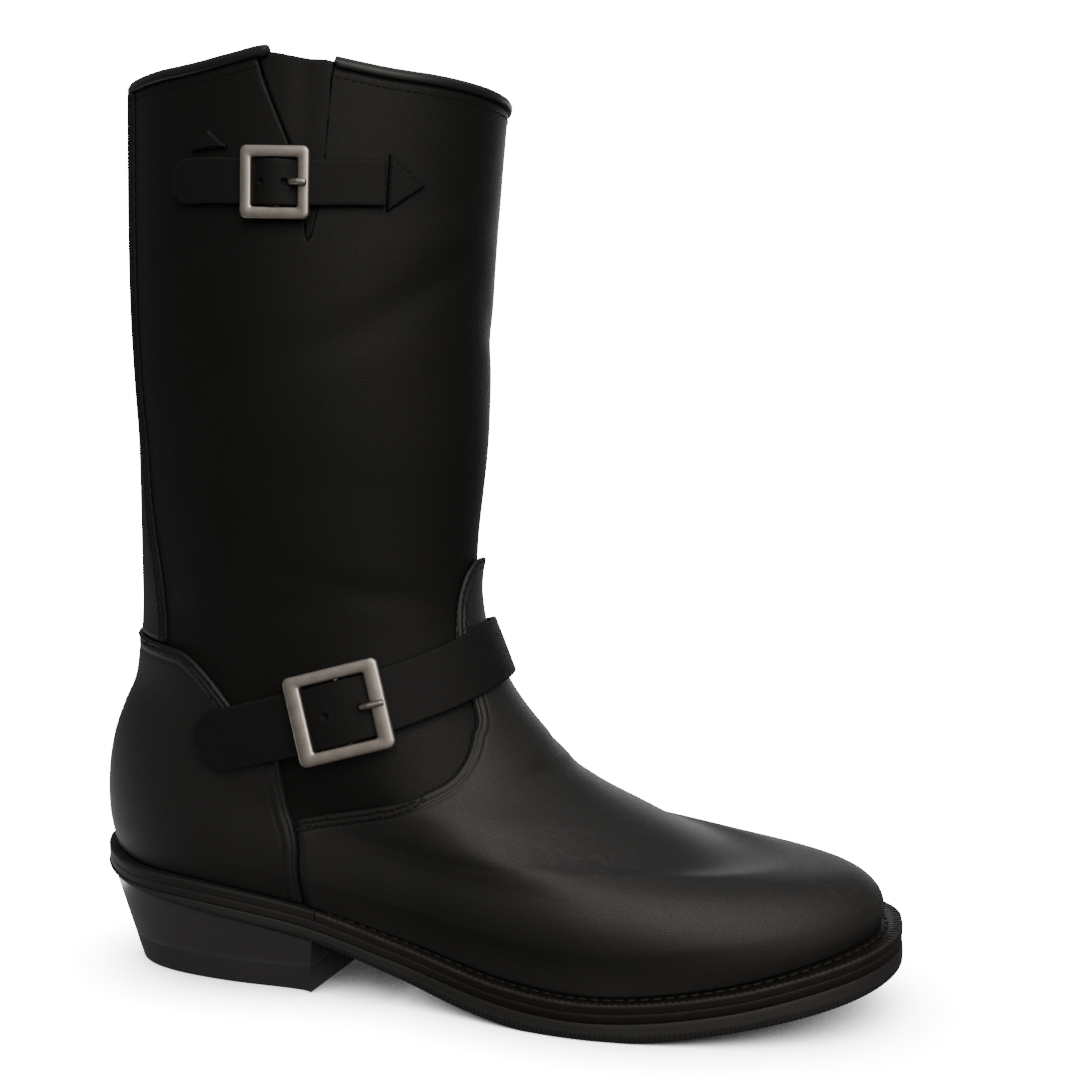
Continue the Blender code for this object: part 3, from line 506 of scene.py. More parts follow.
def waxed_edge(name, dark, light, gloss, layers, depth, shine, coat=0.0, heel=None, worn=0.4):
    """Edge of stacked leather: thin level layers, fibres and a waxed gloss; heel is its colour behind the waist."""
    material, tree, shader = new_finish(name, Specular_IOR_Level=shine, Coat_Weight=coat, Coat_Roughness=0.22)
    spot = place_on(tree)
    noise = node(tree, "TexNoise", Vector=stretched(spot, (60.0, 60.0, layers)), Scale=1.0, Detail=6.0, Roughness=0.6)
    fibre = noise.outputs["Fac"]
    dusty = use_group(tree, "settled_dust", Amount=0.25)["Dust"]
    wear = use_group(tree, "edge_wear_and_highlight", Amount=worn)["Worn"]
    colour = blend(fibre, dark, light)
    if heel is not None:
        along = node(tree, "SeparateXYZ", Vector=spot).outputs["X"]
        colour = blend(spread(along, 1.0, 0.0, **HEEL_BLEND), colour, heel)
    # Lighter rim: real edge wear, and on the welt mostly a painted highlight along the ledge's top outer edge.
    colour = blend(wear, colour, tuple(min(1.0, 2.2 * c + 0.012) for c in light))
    dress(shader, blend(dusty, colour, EDGE_DUST), spread(fibre, *gloss), fibre, depth * MM, 0.5)
    return material


# On the welt, worn=0.8 lightens the ledge's top outer edge: mostly a painted highlight, the thin light line where the
# ledge catches the light, with a little real wear.
welt_edge = waxed_edge("welt_edge", (0.0052, 0.0047, 0.0043), (0.0100, 0.0086, 0.0077), (0.46, 0.60),
                       600.0, 0.05, 0.12, heel=(0.0110, 0.0107, 0.0104), worn=0.8)
rand_edge = waxed_edge("rand_edge", (0.0080, 0.0079, 0.0077), (0.0130, 0.0127, 0.0123), (0.50, 0.64),
                       600.0, 0.04, 0.15, worn=0.1)
midsole_edge = waxed_edge("midsole_edge", (0.0048, 0.0041, 0.0037), (0.0090, 0.0072, 0.0062), (0.46, 0.60),
                          900.0, 0.05, 0.10, heel=(0.0140, 0.0136, 0.0132))
heel_wax = waxed_edge("heel_wax", (0.0115, 0.0115, 0.0119), (0.0185, 0.0182, 0.0182), (0.28, 0.38),
                      260.0, 0.03, 0.5, coat=0.9)
print("waxed edges made")


# %% Rubber and nickel
def moulded_rubber(name, dark, light, coat=0.0):
    """Rubber with a fine moulded skin, and shallow bars across what faces the floor."""
    material, tree, shader = new_finish(name, Specular_IOR_Level=0.3, Coat_Weight=coat, Coat_Roughness=0.3)
    spot = place_on(tree)
    skin = node(tree, "TexNoise", Vector=spot, Scale=1400.0, Detail=3.0).outputs["Fac"]
    cloud = node(tree, "TexNoise", Vector=spot, Scale=45.0, Detail=5.0).outputs["Fac"]
    bars = node(tree, "TexWave", Vector=spot, Scale=52.0, bands_direction="X", wave_profile="SIN").outputs["Fac"]
    under = sums("GREATER_THAN", times(facing_up(tree), -1.0), 0.8)
    relief = times(times(sums("GREATER_THAN", bars, 0.4), under), 6.0)
    wear = use_group(tree, "edge_wear_and_highlight", Amount=0.3)["Worn"]
    dusty = use_group(tree, "settled_dust", Amount=0.3)["Dust"]
    colour = blend(wear, blend(cloud, dark, light), (0.032, 0.031, 0.030))
    colour = blend(dusty, colour, (0.07, 0.068, 0.064))
    dress(shader, colour, spread(cloud, 0.50, 0.68), sums("ADD", skin, relief), 0.0001, 0.6)
    return material


def brushed_metal(name, dark, light, gloss):
    """Nickel brushed one way, with a cloudy tone and lighter worn edges."""
    material, tree, shader = new_finish(name, Metallic=1.0)
    spot = place_on(tree)
    drawn = stretched(spot, (260.0, 260.0, 2600.0), (0.0, math.radians(18), 0.0))
    lines = node(tree, "TexNoise", Vector=drawn, Scale=1.0, Detail=5.0, Roughness=0.7).outputs["Fac"]
    cloud = node(tree, "TexNoise", Vector=spot, Scale=240.0, Detail=4.0).outputs["Fac"]
    wear = use_group(tree, "edge_wear_and_highlight", Amount=0.8, Breakup=500.0)["Worn"]
    colour = blend(wear, blend(cloud, dark, light), tuple(min(1.0, 1.25 * c) for c in light))
    dress(shader, colour, spread(lines, *gloss), lines, 0.00004, 0.5)
    return material


sole_rubber = moulded_rubber("sole_rubber_skin", (0.0070, 0.0069, 0.0068), (0.0122, 0.0119, 0.0115))
lift_rubber = moulded_rubber("lift_rubber_skin", (0.0095, 0.0095, 0.0098), (0.0150, 0.0149, 0.0148), coat=1.0)
nickel = brushed_metal("brushed_nickel_plate", (0.21, 0.190, 0.166), (0.36, 0.330, 0.294), (0.34, 0.50))
print("rubber and nickel made")

# %% [markdown]
# ## Tools for the pieces
# A flat bmesh grid is the start of most pieces: each of its points has a place across and along the grid, and a
# function of the last moves it to where it belongs. A grid in columns and rows keeps its quads along the leather,
# which shades far better than a triangulated CAD face. Pieces keep a rim attribute, 1 at a cut edge and 0 away
# from it, which the edge wear reads; on the welt the same rim carries a painted highlight.

# %% From a grid to a finished piece
MEETING = 2e-6


def in_frame(points):
    """Points in mm of the last, in metres of the shared frame."""
    return (np.asarray(points) + SHIFT) * MM


def grid(columns, rows, shape, close=False):
    """Grid whose points go to shape(u, v), in mm of the last; a closed one merges where its sides meet."""
    bm = bmesh.new()
    bmesh.ops.create_grid(bm, x_segments=columns, y_segments=rows, size=0.5)
    flat = np.array([vert.co for vert in bm.verts]) + 0.5
    for vert, point in zip(bm.verts, in_frame(shape(flat[:, 0], flat[:, 1]))):
        vert.co = point
    if close:
        bmesh.ops.remove_doubles(bm, verts=bm.verts[:], dist=MEETING)
        bmesh.ops.recalc_face_normals(bm, faces=bm.faces[:])
    bm.normal_update()
    return bm


def edge_line(shape, v, count):
    """Points along a shape, at one place up its grid."""
    return shape(np.linspace(0, 1, count), np.full(count, v))


def near(points):
    """Search tree of points."""
    tree = KDTree(len(points))
    for k, point in enumerate(points):
        tree.insert(Vector(point), k)
    tree.balance()
    return tree


def mark_rim(bm, edge, reach):
    """Rim attribute: 1 on the points of an edge, falling to 0 at a reach in mm."""
    tree = near(in_frame(edge))
    layer = bm.verts.layers.float.new("rim")
    for vert in bm.verts:
        vert[layer] = max(0.0, 1 - tree.find(vert.co)[2] / (reach * MM))


def add_piece(name, bm, finish, slot, stands_for=(), sharp=50):
    """Object at the origin that rides on the boot and takes the place of its CAD nodes."""
    mesh = bpy.data.meshes.new(name)
    bm.to_mesh(mesh)
    bm.free()
    mesh.shade_smooth()
    mesh.set_sharp_from_angle(angle=math.radians(sharp))
    for material in finish if isinstance(finish, tuple) else (finish,):
        mesh.materials.append(material)
    piece = bpy.data.objects.new(name, mesh)
    bpy.context.scene.collection.objects.link(piece)
    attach(piece, "root")
    if stands_for:
        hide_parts(*stands_for)
    print(name, len(mesh.polygons), "faces")
    return piece


def thicken(piece, thickness, inside=0):
    """Wall behind a sheet, with its own material inside."""
    solid = piece.modifiers.new("wall", "SOLIDIFY")
    solid.thickness = thickness * MM
    solid.offset = -1.0
    solid.material_offset = inside


def columns_of(u, function):
    """Values that depend on the column alone, worked out once for each column."""
    each, back = np.unique(u, return_inverse=True)
    return function(each)[back]


def read(table, step):
    """Columns of a table, read at a step that counts its rows."""
    return [np.interp(step, np.arange(len(table)), column) for column in np.array(table).T]


# %% [markdown]
# ## The upper
# The foot and the shaft are one hollow wall, open at the collar. On the outer side of the collar a slot lets a leg
# in, so the top of the wall drops there. The wall is a sheet around the last, thickened inwards, with the lining
# on its inner face.

# %% Upper with the slot of the collar
SLOT = ((-93.0, -91.2, -88.5, -85.5, -81.5, -79.0, -77.5, -75.6, -73.0, -72.0, -71.3),
        (0.0, 7.0, 14.5, 22.0, 32.0, 44.0, 59.0, 56.0, 41.0, 18.0, 0.0))
ANGLE_STOPS = ((0.0, 0.13, 0.30, 0.62, 1.0), (-105.0, -95.0, -70.0, 90.0, 255.0))
EVEN_SHARE = 0.72


def rim_height(angle):
    return last_point(angle, float(COLLAR))[..., 2]


def slot_drop(angle):
    return np.interp(turned(angle), *SLOT, left=0.0, right=0.0)


def rim_row(angle):
    return row_at_height(angle, rim_height(angle) - slot_drop(angle))


def upper_shape(u, v):
    """Rows of even height up to the level one, then rows that share out what is left below the rim."""
    top = columns_of(u, lambda each: rim_row(np.interp(each, *ANGLE_STOPS)))
    stops = np.linspace(0, LEVEL, 200)
    height = last_point(-90.0, stops)[..., 2]
    share = np.clip(v / EVEN_SHARE, 0, 1)
    low = np.interp(height[0] + (height[-1] - height[0]) * share, height, stops)
    row = np.where(v <= EVEN_SHARE, low, LEVEL + (top - LEVEL) * (v - EVEN_SHARE) / (1 - EVEN_SHARE))
    return wall(np.interp(u, *ANGLE_STOPS), row)


bm = grid(300, 112, upper_shape)
bmesh.ops.remove_doubles(bm, verts=bm.verts[:], dist=MEETING)
turns = np.linspace(-105, 255, 900)
mark_rim(bm, wall(turns, rim_row(turns)), 1.6)
bm.normal_update()
upper_surface = BVHTree.FromBMesh(bm)
upper = add_piece("upper_leather", bm, (shaft_hide, lining_hide), "oiled_leather", ("upper",))
thicken(upper, WALL, inside=1)

# %% [markdown]
# ## Panels sewn on the upper
# The vamp, the counter and the back stay are separate skins, cut from the same last and sewn on along their edges.
# A cut edge is skived thin and rolls down to the wall, and each row of stitches pulls a fine groove. So a panel is
# a sheet whose distance from the wall follows its distance from its own edge.

# %% Edges of the panels
SEAM_GAP = 0.6
COUNTER_EDGE = ((0.0, 17.0, 32.0, 45.0, 57.0, 66.0, 72.0, 78.2),
                (129.5, 129.0, 128.0, 127.0, 124.0, 114.5, 103.0, 88.0))
VAMP_EDGE = ((0.0, 9.0, 16.0, 19.5, 22.5, 30.5, 39.5, 54.5, 68.5, 86.0, 108.9),
             (159.0, 157.5, 151.5, 145.0, 136.0, 107.6, 97.4, 85.5, 79.5, 74.2, 66.0))
BACK_STAY = ((125, 150, 178, 210, 260, 330), (45.0, 43.0, 35.5, 31.0, 31.0, 31.0))
SEAM_FOOT, SEAM_LEAN, SEAM_BEND = 65.0, 13.2, 2.2
SEAM_TOP = float(row_at_height(180.0 + COUNTER_EDGE[0][-1], COUNTER_EDGE[1][-1]))
PANEL = 2.1
PANEL_BODY = 0.9
GROOVE, GROOVE_WIDTH = 0.30, 0.55


def side_seam(row):
    """Angle from the back of the seam down each side."""
    return SEAM_FOOT + SEAM_LEAN * np.clip(row / SEAM_TOP, 0, 1) ** SEAM_BEND


def skin(away, thick, grooves, puff, rolled):
    """Distance of a panel's face from the wall: a rolled edge, stitch grooves and a puffed band between them."""
    roll = np.clip(away / rolled, 0, 1)
    low = min(0.5, 0.65 / rolled)
    rise = low + (thick - low) * np.sqrt(1 - (1 - roll) ** 2)
    for groove in grooves:
        rise = rise - GROOVE * np.exp(-((away - groove) / GROOVE_WIDTH) ** 2)
    if grooves:
        middle, half = sum(grooves) / 2, (grooves[1] - grooves[0]) / 2
        rise = rise + puff * np.exp(-((away - middle) / half / 0.75) ** 4)
    return rise


def panel(name, columns, rows, spot, sides, finish, thick=PANEL, grooves=(), puff=0.0, lip=None, rolled=1.3,
          slot="oiled_leather"):
    """Sheet on the wall: spot(u, v) gives angle and row, sides the angles and rows along its sewn edges."""
    border = wall(*(np.concatenate(parts) for parts in zip(*sides)), 1.0)
    tree = near(border)

    def shape(u, v):
        angle, row = spot(u, v)
        away = np.array([tree.find(Vector(point))[2] for point in wall(angle, row, 1.0)])
        out = skin(away, thick, grooves, puff, rolled)
        if lip is not None:
            out = out + lip(angle, away)
        return wall(angle, row, out)

    bm = grid(columns, rows, shape)
    mark_rim(bm, border, 2.2)
    surface = BVHTree.FromBMesh(bm)
    thicken(add_piece(f"{name}_leather", bm, finish, slot, (name,)), PANEL_BODY)
    return surface, border


def closer_at_sides(u, power):
    """Columns from -1 to 1, closer together towards both sides."""
    side = 2 * u - 1
    return np.sign(side) * (1 - (1 - np.abs(side)) ** power)


def settled_row(side, start, angle_at, height_at):
    """Row of a panel's upper edge on each column, where the edge's height and the seam's angle agree."""
    row = np.full(side.shape, start)
    for _ in range(7):
        row = row_at_height(*height_at(angle_at(side, row)))
    return row


# %% Vamp with its tongue
VAMP_STOPS = ((0.0, 0.16, 0.26, 0.40, 0.60, 0.74, 0.84, 1.0), (-1.0, -0.46, -0.31, -0.135, 0.135, 0.31, 0.46, 1.0))
VAMP_GROOVES = (2.1, 4.4)
TONGUE_STAND, TONGUE_TURN, TONGUE_REACH = 1.7, 20, 7


def vamp_angle(side, row):
    return side * (180 - side_seam(row) - SEAM_GAP)


def vamp_top(u):
    return settled_row(np.interp(u, *VAMP_STOPS), 6.0, vamp_angle,
                       lambda angle: (angle, curve(VAMP_EDGE, np.abs(angle))))


def vamp_spot(u, v):
    row = columns_of(u, vamp_top) * (1 - (1 - v) ** 1.7)
    return vamp_angle(np.interp(u, *VAMP_STOPS), row), row


def tongue_lip(angle, away):
    """The top of the tongue stands a little off the shaft."""
    return (TONGUE_STAND * np.clip(1 - np.abs(angle) / TONGUE_TURN, 0, 1)
            * np.clip(1 - away / TONGUE_REACH, 0, 1) ** 2)


vamp_surface, vamp_border = panel("vamp", 290, 104, vamp_spot, [edge_line(vamp_spot, 1.0, 1600)], vamp_hide,
                                  grooves=VAMP_GROOVES, puff=0.22, lip=tongue_lip)

# %% Counter around the heel
COUNTER_GROOVES = (1.8, 5.2)
COUNTER_SIDE, COUNTER_TOP = 300, 1200
LIP_STAND, LIP_TURN, LIP_REACH = 1.3, 55, 5


def counter_turn(side, row):
    return side * side_seam(row)


def counter_top(u):
    return settled_row(closer_at_sides(u, 1.35), 8.0, counter_turn,
                       lambda turn: (180 + turn, curve(COUNTER_EDGE, np.abs(turn))))


def counter_spot(u, v):
    row = columns_of(u, counter_top) * (1 - (1 - v) ** 1.6)
    return 180 + counter_turn(closer_at_sides(u, 1.35), row), row


def counter_lip(angle, away):
    """The top of the counter stands a little off at the back."""
    return LIP_STAND * np.clip(1 - np.abs(angle - 180) / LIP_TURN, 0, 1) * np.clip(1 - away / LIP_REACH, 0, 1) ** 2


ups = np.linspace(0, 1, COUNTER_SIDE)
sides = [edge_line(counter_spot, 1.0, COUNTER_TOP)]
sides += [counter_spot(np.full(COUNTER_SIDE, end), ups) for end in (0.0, 1.0)]
counter_surface, counter_border = panel("counter", 220, 84, counter_spot, sides, counter_hide,
                                        grooves=COUNTER_GROOVES, puff=0.2, lip=counter_lip)

# %% Back stay up the shaft
STAY_SIDE = 700


def stay_spot(u, v):
    across = closer_at_sides(u, 1.5)
    foot = curve(COUNTER_EDGE, np.abs(across) * BACK_STAY[1][0]) + 1.0
    top = rim_height(180 + across * BACK_STAY[1][-1]) - 0.4
    height = foot + (top - foot) * v
    angle = 180 + across * curve(BACK_STAY, height)
    return angle, row_at_height(angle, height)


ups = np.linspace(0, 1, STAY_SIDE)
sides = [stay_spot(np.full(STAY_SIDE, end), ups) for end in (0.0, 1.0)]
stay_surface, stay_border = panel("back_stay", 90, 110, stay_spot, sides, stay_hide, thick=1.7, rolled=5.0)

# %% Gusset behind the slot: it fills the slot from inside, and its top stands level with the bead
GUSSET_STAND = ((-98.0, -93.0, -89.0, -84.0, -78.0, -73.5, -70.0, -66.0), (0.0, 1.3, 1.9, 1.5, 1.5, 2.4, 2.3, 0.5))
GUSSET_TURN = GUSSET_STAND[0][-1] - GUSSET_STAND[0][0]
GUSSET_DROP, GUSSET_TOP = 66.0, 0.5
FOLD_ANGLE, FOLD_DEPTH = -79.0, 0.5
FILL = 2.0


def gusset_shape(u, v):
    angle = GUSSET_STAND[0][0] + GUSSET_TURN * u
    drop = GUSSET_DROP - (GUSSET_DROP - GUSSET_TOP) * v
    fold = FOLD_DEPTH * np.exp(-((angle - FOLD_ANGLE) / 4.0) ** 2) * np.clip(1.1 - drop / GUSSET_DROP, 0, 1)
    row = row_at_height(angle, rim_height(angle) - drop)
    stand = np.interp(angle, *GUSSET_STAND) * np.clip(1 - drop / 12.0, 0, 1)
    filled = np.clip((slot_drop(angle) - drop) / 3.0 + 0.5, 0, 1) * FILL
    inside = last_point(angle, row) + last_normal(angle, row) * (filled - WALL - 0.5 - fold)[:, None]
    return inside + np.stack([0 * u, 0 * u, stand], -1)


bm = grid(64, 66, gusset_shape)
mark_rim(bm, edge_line(gusset_shape, 1.0, 200), 1.5)
gusset = add_piece("gusset_leather", bm, (shaft_hide, lining_hide), "oiled_leather", ("gusset",))
thicken(gusset, 1.6, inside=1)

# %% [markdown]
# ## The rolled binding
# A thin strip is folded over the collar and sewn through, which leaves a round bead with a second line under it.
# Its section is a closed loop carried around the collar. It stops at the slot, where its tail is cut square.

# %% Collar binding
BINDING = ((2.4, -0.2), (2.75, 0.9), (2.7, 1.9), (2.1, 2.9), (0.9, 3.55), (-0.9, 3.55), (-2.1, 2.9), (-2.7, 1.9),
           (-2.6, 0.8), (-1.9, -0.3), (0.2, -0.45), (2.4, -0.2))
BINDING_TURNS = (-71.3, 271.0)
BEAD_MIDDLE = 1.9


def binding_shape(u, v):
    first, last = BINDING_TURNS
    angle = first + (last - first) * u
    wide, tall = read(BINDING, v * (len(BINDING) - 1))
    taper = np.clip(np.minimum(u, 1 - u) / 0.002, 0.0, 1.0) ** 0.5
    out = last_normal(angle, float(COLLAR))
    rim = last_point(angle, float(COLLAR)) - out * (WALL / 2)
    rise = BEAD_MIDDLE + (tall - BEAD_MIDDLE) * taper
    return rim + out * (1, 1, 0) * (wide * taper)[:, None] + np.stack([0 * u, 0 * u, rise], -1)


bm = grid(420, 2 * (len(BINDING) - 1), binding_shape, close=True)
mark_rim(bm, edge_line(binding_shape, 0.36, 1500), 0.9)
add_piece("collar_binding_leather", bm, binding_hide, "oiled_leather", ("collar_binding",), sharp=70)

# %% [markdown]
# ## The sole
# Under the upper lie the insole, the welt with the plain rand behind it, the midsole, the outsole and the heel.
# Each follows the same plan: the feather line of the last, with the margin of the sole's edge outside it. A layer
# is a loop of that plan carried through a profile, and closed over its middle line.

# %% Plan of the sole
MARGIN = ((0, 25, 45, 66, 85, 100, 114, 135, 180), (9.8, 11.0, 8.4, 6.4, 7.2, 6.2, 4.6, 5.0, 6.5))
WELT = 3.3
WELT_INSIDE = 2.5
MIDSOLE = 3.0
GAP = 0.3


def feather(angle, inside):
    return last_point(angle, 0.0)[..., :2] - last_normal(angle, 0.0)[..., :2] * np.asarray(inside)[..., None]


def sole_plan(angle, inset=0.0):
    return feather(angle, inset - curve(MARGIN, np.abs(turned(angle))))


TURN = np.linspace(-360, 360, 7201)
LENGTH = np.concatenate([[0.0], np.cumsum(np.linalg.norm(np.diff(sole_plan(TURN), axis=0), axis=1))])


def even_angle(u, first=-180.0, last=180.0):
    """Angles whose points are evenly spaced along the sole's edge, with the length so far in mm."""
    start, end = np.interp((first, last), TURN, LENGTH)
    length = start + (end - start) * u
    return np.interp(length, LENGTH, TURN), length


def tread(x):
    return np.maximum(curve(TREAD, x), 0.0)


def raised(plan, z):
    return np.concatenate([plan, z[..., None]], -1)


def ribbed(length, pitch):
    """0 to 1 and back along a length, once for each pitch."""
    return 0.5 - 0.5 * np.cos(2 * np.pi * length / pitch)


print("edge of the sole", round(float(LENGTH[-1] / 2)), "mm around")

# %% Welt and heel rand
LEDGE = (
    # share of the way from the inner edge to the sole's edge, inset of that edge, depth below the top
    (0.0, 0.0, 3.3), (0.0, 0.0, 0.4), (0.10, 0.0, 0.0), (0.36, 0.0, 0.0), (0.46, 0.0, 0.12), (0.54, 0.0, 0.42),
    (0.62, 0.0, 0.12), (0.70, 0.0, 0.0), (0.82, 0.0, 0.0), (0.92, 0.0, 0.02), (1.0, 0.45, 0.10), (1.0, 0.12, 0.35),
    (1.0, 0.0, 0.8), (1.0, 0.0, 1.6), (1.0, 0.0, 2.6), (1.0, 0.0, 3.3), (1.0, 0.12, 3.5), (0.5, 0.0, 3.5),
    (0.0, 0.0, 3.3))
LEDGE_STEPS = len(LEDGE) - 1
STITCH_SHARE = 0.54
NOTCH_PITCH = 2.3


def on_ledge(angle, inset, share):
    """Plan at a share of the way from the welt's inner edge to the sole's edge."""
    inside = feather(angle, WELT_INSIDE)
    return inside + (sole_plan(angle, inset) - inside) * np.asarray(share)[..., None]


def ledge(name, first, last, columns, notch, groove, finish, node_name):
    """Ledge around the feather line: notch is the depth of its edge's notches, groove 1 where stitches lie."""
    def shape(u, v):
        angle, length = even_angle(u, first, last)
        step = v * LEDGE_STEPS
        share, inset, depth = read(LEDGE, step)
        depth = np.where((step > 3) & (step < 7), depth * groove, depth)
        outer = np.exp(-((step - 10) / 1.2) ** 2) + np.exp(-((step - 8.5) / 0.9) ** 2)
        depth = depth + notch * np.clip(outer, 0, 1) * ribbed(length, NOTCH_PITCH) ** 2
        plan = on_ledge(angle, inset, share)
        return raised(plan, curve(WELT_TOP, plan[..., 0]) - depth)

    bm = grid(columns, LEDGE_STEPS, shape, close=True)
    bmesh.ops.holes_fill(bm, edges=[edge for edge in bm.edges if edge.is_boundary], sides=0)
    bmesh.ops.recalc_face_normals(bm, faces=bm.faces[:])
    # Rim along the ledge's top outer edge, where the welt's finish paints a highlight.
    mark_rim(bm, edge_line(shape, 10.5 / LEDGE_STEPS, 2500), 1.0)
    add_piece(name, bm, finish, "welt_leather", (node_name,))


ledge("welt_leather", -112.4, 112.4, 1500, 0.30, 1.0, welt_edge, "welt")
ledge("heel_rand_leather", 112.6 - 360, -112.6, 420, 0.0, 0.0, rand_edge, "heel_rand")


# %% Midsole, seen only at its edge
def sole_layer(name, profile, under, columns, finish, slot, node_name, worn, wave=None):
    """Loop through a profile, closed over the middle line; under is the depth of its top below the welt's."""
    steps = len(profile) - 1

    def shape(u, v):
        angle, length = even_angle(u)
        across, inset, share, depth = read(profile, v * steps)
        if wave is not None:
            inset = inset + wave(angle, length, v * steps)
        centre = (sole_plan(angle) + sole_plan(-angle)) / 2
        plan = centre + (sole_plan(angle, inset) - centre) * across[:, None]
        top = curve(WELT_TOP, plan[..., 0]) - under - depth
        floor = tread(plan[..., 0])
        return raised(plan, np.where(share >= 1, top, floor + share * (top - floor)))

    bm = grid(columns, steps, shape, close=True)
    mark_rim(bm, edge_line(shape, worn / steps, 3000), 0.9)
    add_piece(name, bm, finish, slot, (node_name,))


UNDER_WELT = WELT + GAP
MIDSOLE_PROFILE = (
    # share from the middle line to the edge, inset of the edge, share from tread to top, depth below the top
    (0.0, 0.3, 1.0, 0.0), (0.85, 0.3, 1.0, 0.0), (1.0, 0.3, 1.0, 0.0), (1.0, 0.18, 1.0, 0.10), (1.0, 0.12, 1.0, 0.4),
    (1.0, 0.10, 1.0, 1.5), (1.0, 0.12, 1.0, 2.6), (1.0, 0.18, 1.0, 3.0), (1.0, 0.3, 1.0, 3.15),
    (0.85, 0.3, 1.0, 3.15), (0.0, 0.3, 1.0, 3.15))
sole_layer("midsole_leather", MIDSOLE_PROFILE, UNDER_WELT, 500, midsole_edge, "midsole_leather", "midsole", 3)

# %% [markdown]
# ## Outsole
# The edge of the rubber sole is flush with the midsole above it, swells a little halfway down and has fine moulded
# ribs along its foot, which show against the floor near the toe. The ribs are real relief here, because they break
# the outline. Bars across the tread are shallow, so they stay in the material.

# %% Outsole with ribbed foot
OUTSOLE_PROFILE = (
    # the same four columns as the midsole's
    (0.0, 0.7, 1.0, 0.0), (0.85, 0.7, 1.0, 0.0), (1.0, 0.7, 1.0, 0.0), (1.0, 0.10, 0.98, 0.0), (1.0, -0.05, 0.92, 0.0),
    (1.0, -0.14, 0.78, 0.0), (1.0, -0.22, 0.66, 0.0), (1.0, -0.28, 0.55, 0.0), (1.0, -0.30, 0.46, 0.0),
    (1.0, -0.26, 0.41, 0.0), (1.0, -0.24, 0.30, 0.0), (1.0, -0.20, 0.18, 0.0), (1.0, 0.0, 0.07, 0.0),
    (1.0, 0.8, 0.0, 0.0), (0.94, 0.8, 0.0, 0.0), (0.7, 0.8, 0.0, 0.0), (0.35, 0.8, 0.0, 0.0), (0.0, 0.8, 0.0, 0.0))
RIB_DEPTH, RIB_PITCH = 0.55, 1.7
RIBS_END = 118


def ribs(angle, length, step):
    """Ribs on the lower part of the edge, forward of the heel."""
    low = np.clip(1 - np.abs(step - 11.2) / 2.2, 0, 1) ** 0.5
    front = np.clip((RIBS_END - np.abs(angle)) / 6, 0, 1)
    return RIB_DEPTH * low * front * ribbed(length, RIB_PITCH)


sole_layer("outsole_rubber", OUTSOLE_PROFILE, UNDER_WELT + MIDSOLE + GAP, 2400, sole_rubber, "sole_rubber", "outsole",
           8, ribs)

# %% [markdown]
# ## Heel
# The heel is a stack of leather lifts, sanded to one slanted face, waxed and burnished, with a rubber lift on the
# floor. Its breast is straight and a little askew. It could be a bevelled block, but its sides follow the sole's
# own plan, so it is the back of that plan drawn in towards the floor.

# %% Heel stack and heel lift
HEEL_TURNS = (-70.5, 66.0)
HEEL_INSET = 1.5
BACK_SLANT, SIDE_SLANT = 10.4, 1.7
BREAST_X, BREAST_FALL, BREAST_SKEW = -59.3, 1.5, 0.187
BREAST_CORNER = 12.0
ROUND_SHARE = 0.78
LIFT_TOP = 10.3


def heel_ring(turn, fall):
    """Plan of the heel at a turn from the back, drawn in by its fall towards the floor."""
    inner, outer = HEEL_TURNS
    limit = np.where(turn < 0, -inner, outer)
    slant = BACK_SLANT - (BACK_SLANT - SIDE_SLANT) * (np.abs(turn) / limit) ** 4
    plan = sole_plan(180 + turn, HEEL_INSET + slant * fall)
    side_y = sole_plan(np.full(turn.shape, 180 + outer), HEEL_INSET + SIDE_SLANT * fall)[:, 1]
    breast = BREAST_X - BREAST_FALL * fall + BREAST_SKEW * (plan[:, 1] - side_y)
    corner = np.clip((np.abs(turn) - limit) / BREAST_CORNER + 1, 0, 1)
    plan[:, 0] += (breast - plan[:, 0]) * corner
    return plan


def heel_shape(levels):
    """Loop from breast to back to breast; levels are (share of the fall, height function, share of the plan)."""
    falls = [(fall, across) for fall, _, across in levels]

    def shape(u, v):
        inner, outer = HEEL_TURNS
        step = v * (len(levels) - 1)
        fall, across = read(falls, step)
        plan = heel_ring(inner + (outer - inner) * np.clip(u / ROUND_SHARE, 0, 1), fall)
        start, end = (heel_ring(np.full(u.shape, turn), fall) for turn in HEEL_TURNS)
        back = np.clip((u - ROUND_SHARE) / (1 - ROUND_SHARE), 0, 1)[:, None]
        plan = np.where(u[:, None] > ROUND_SHARE, end + (start - end) * back, plan)
        centre = np.stack([np.clip(plan[:, 0], -140, -64), np.zeros(len(u))], -1)
        plan = centre + (plan - centre) * across[:, None]
        heights = np.array([height(plan[:, 0]) for _, height, _ in levels])
        low = np.floor(np.clip(step, 0, len(levels) - 1.001)).astype(int)
        part, pick = step - low, np.arange(len(u))
        return raised(plan, heights[low, pick] * (1 - part) + heights[low + 1, pick] * part)

    return shape


def flat(height):
    return lambda x: np.full(x.shape, height)


def between(share):
    """Height at a share of the way from the lift to the sole above the heel."""
    return lambda x: LIFT_TOP + (tread(x) - FOOT_GAP - LIFT_TOP) * share


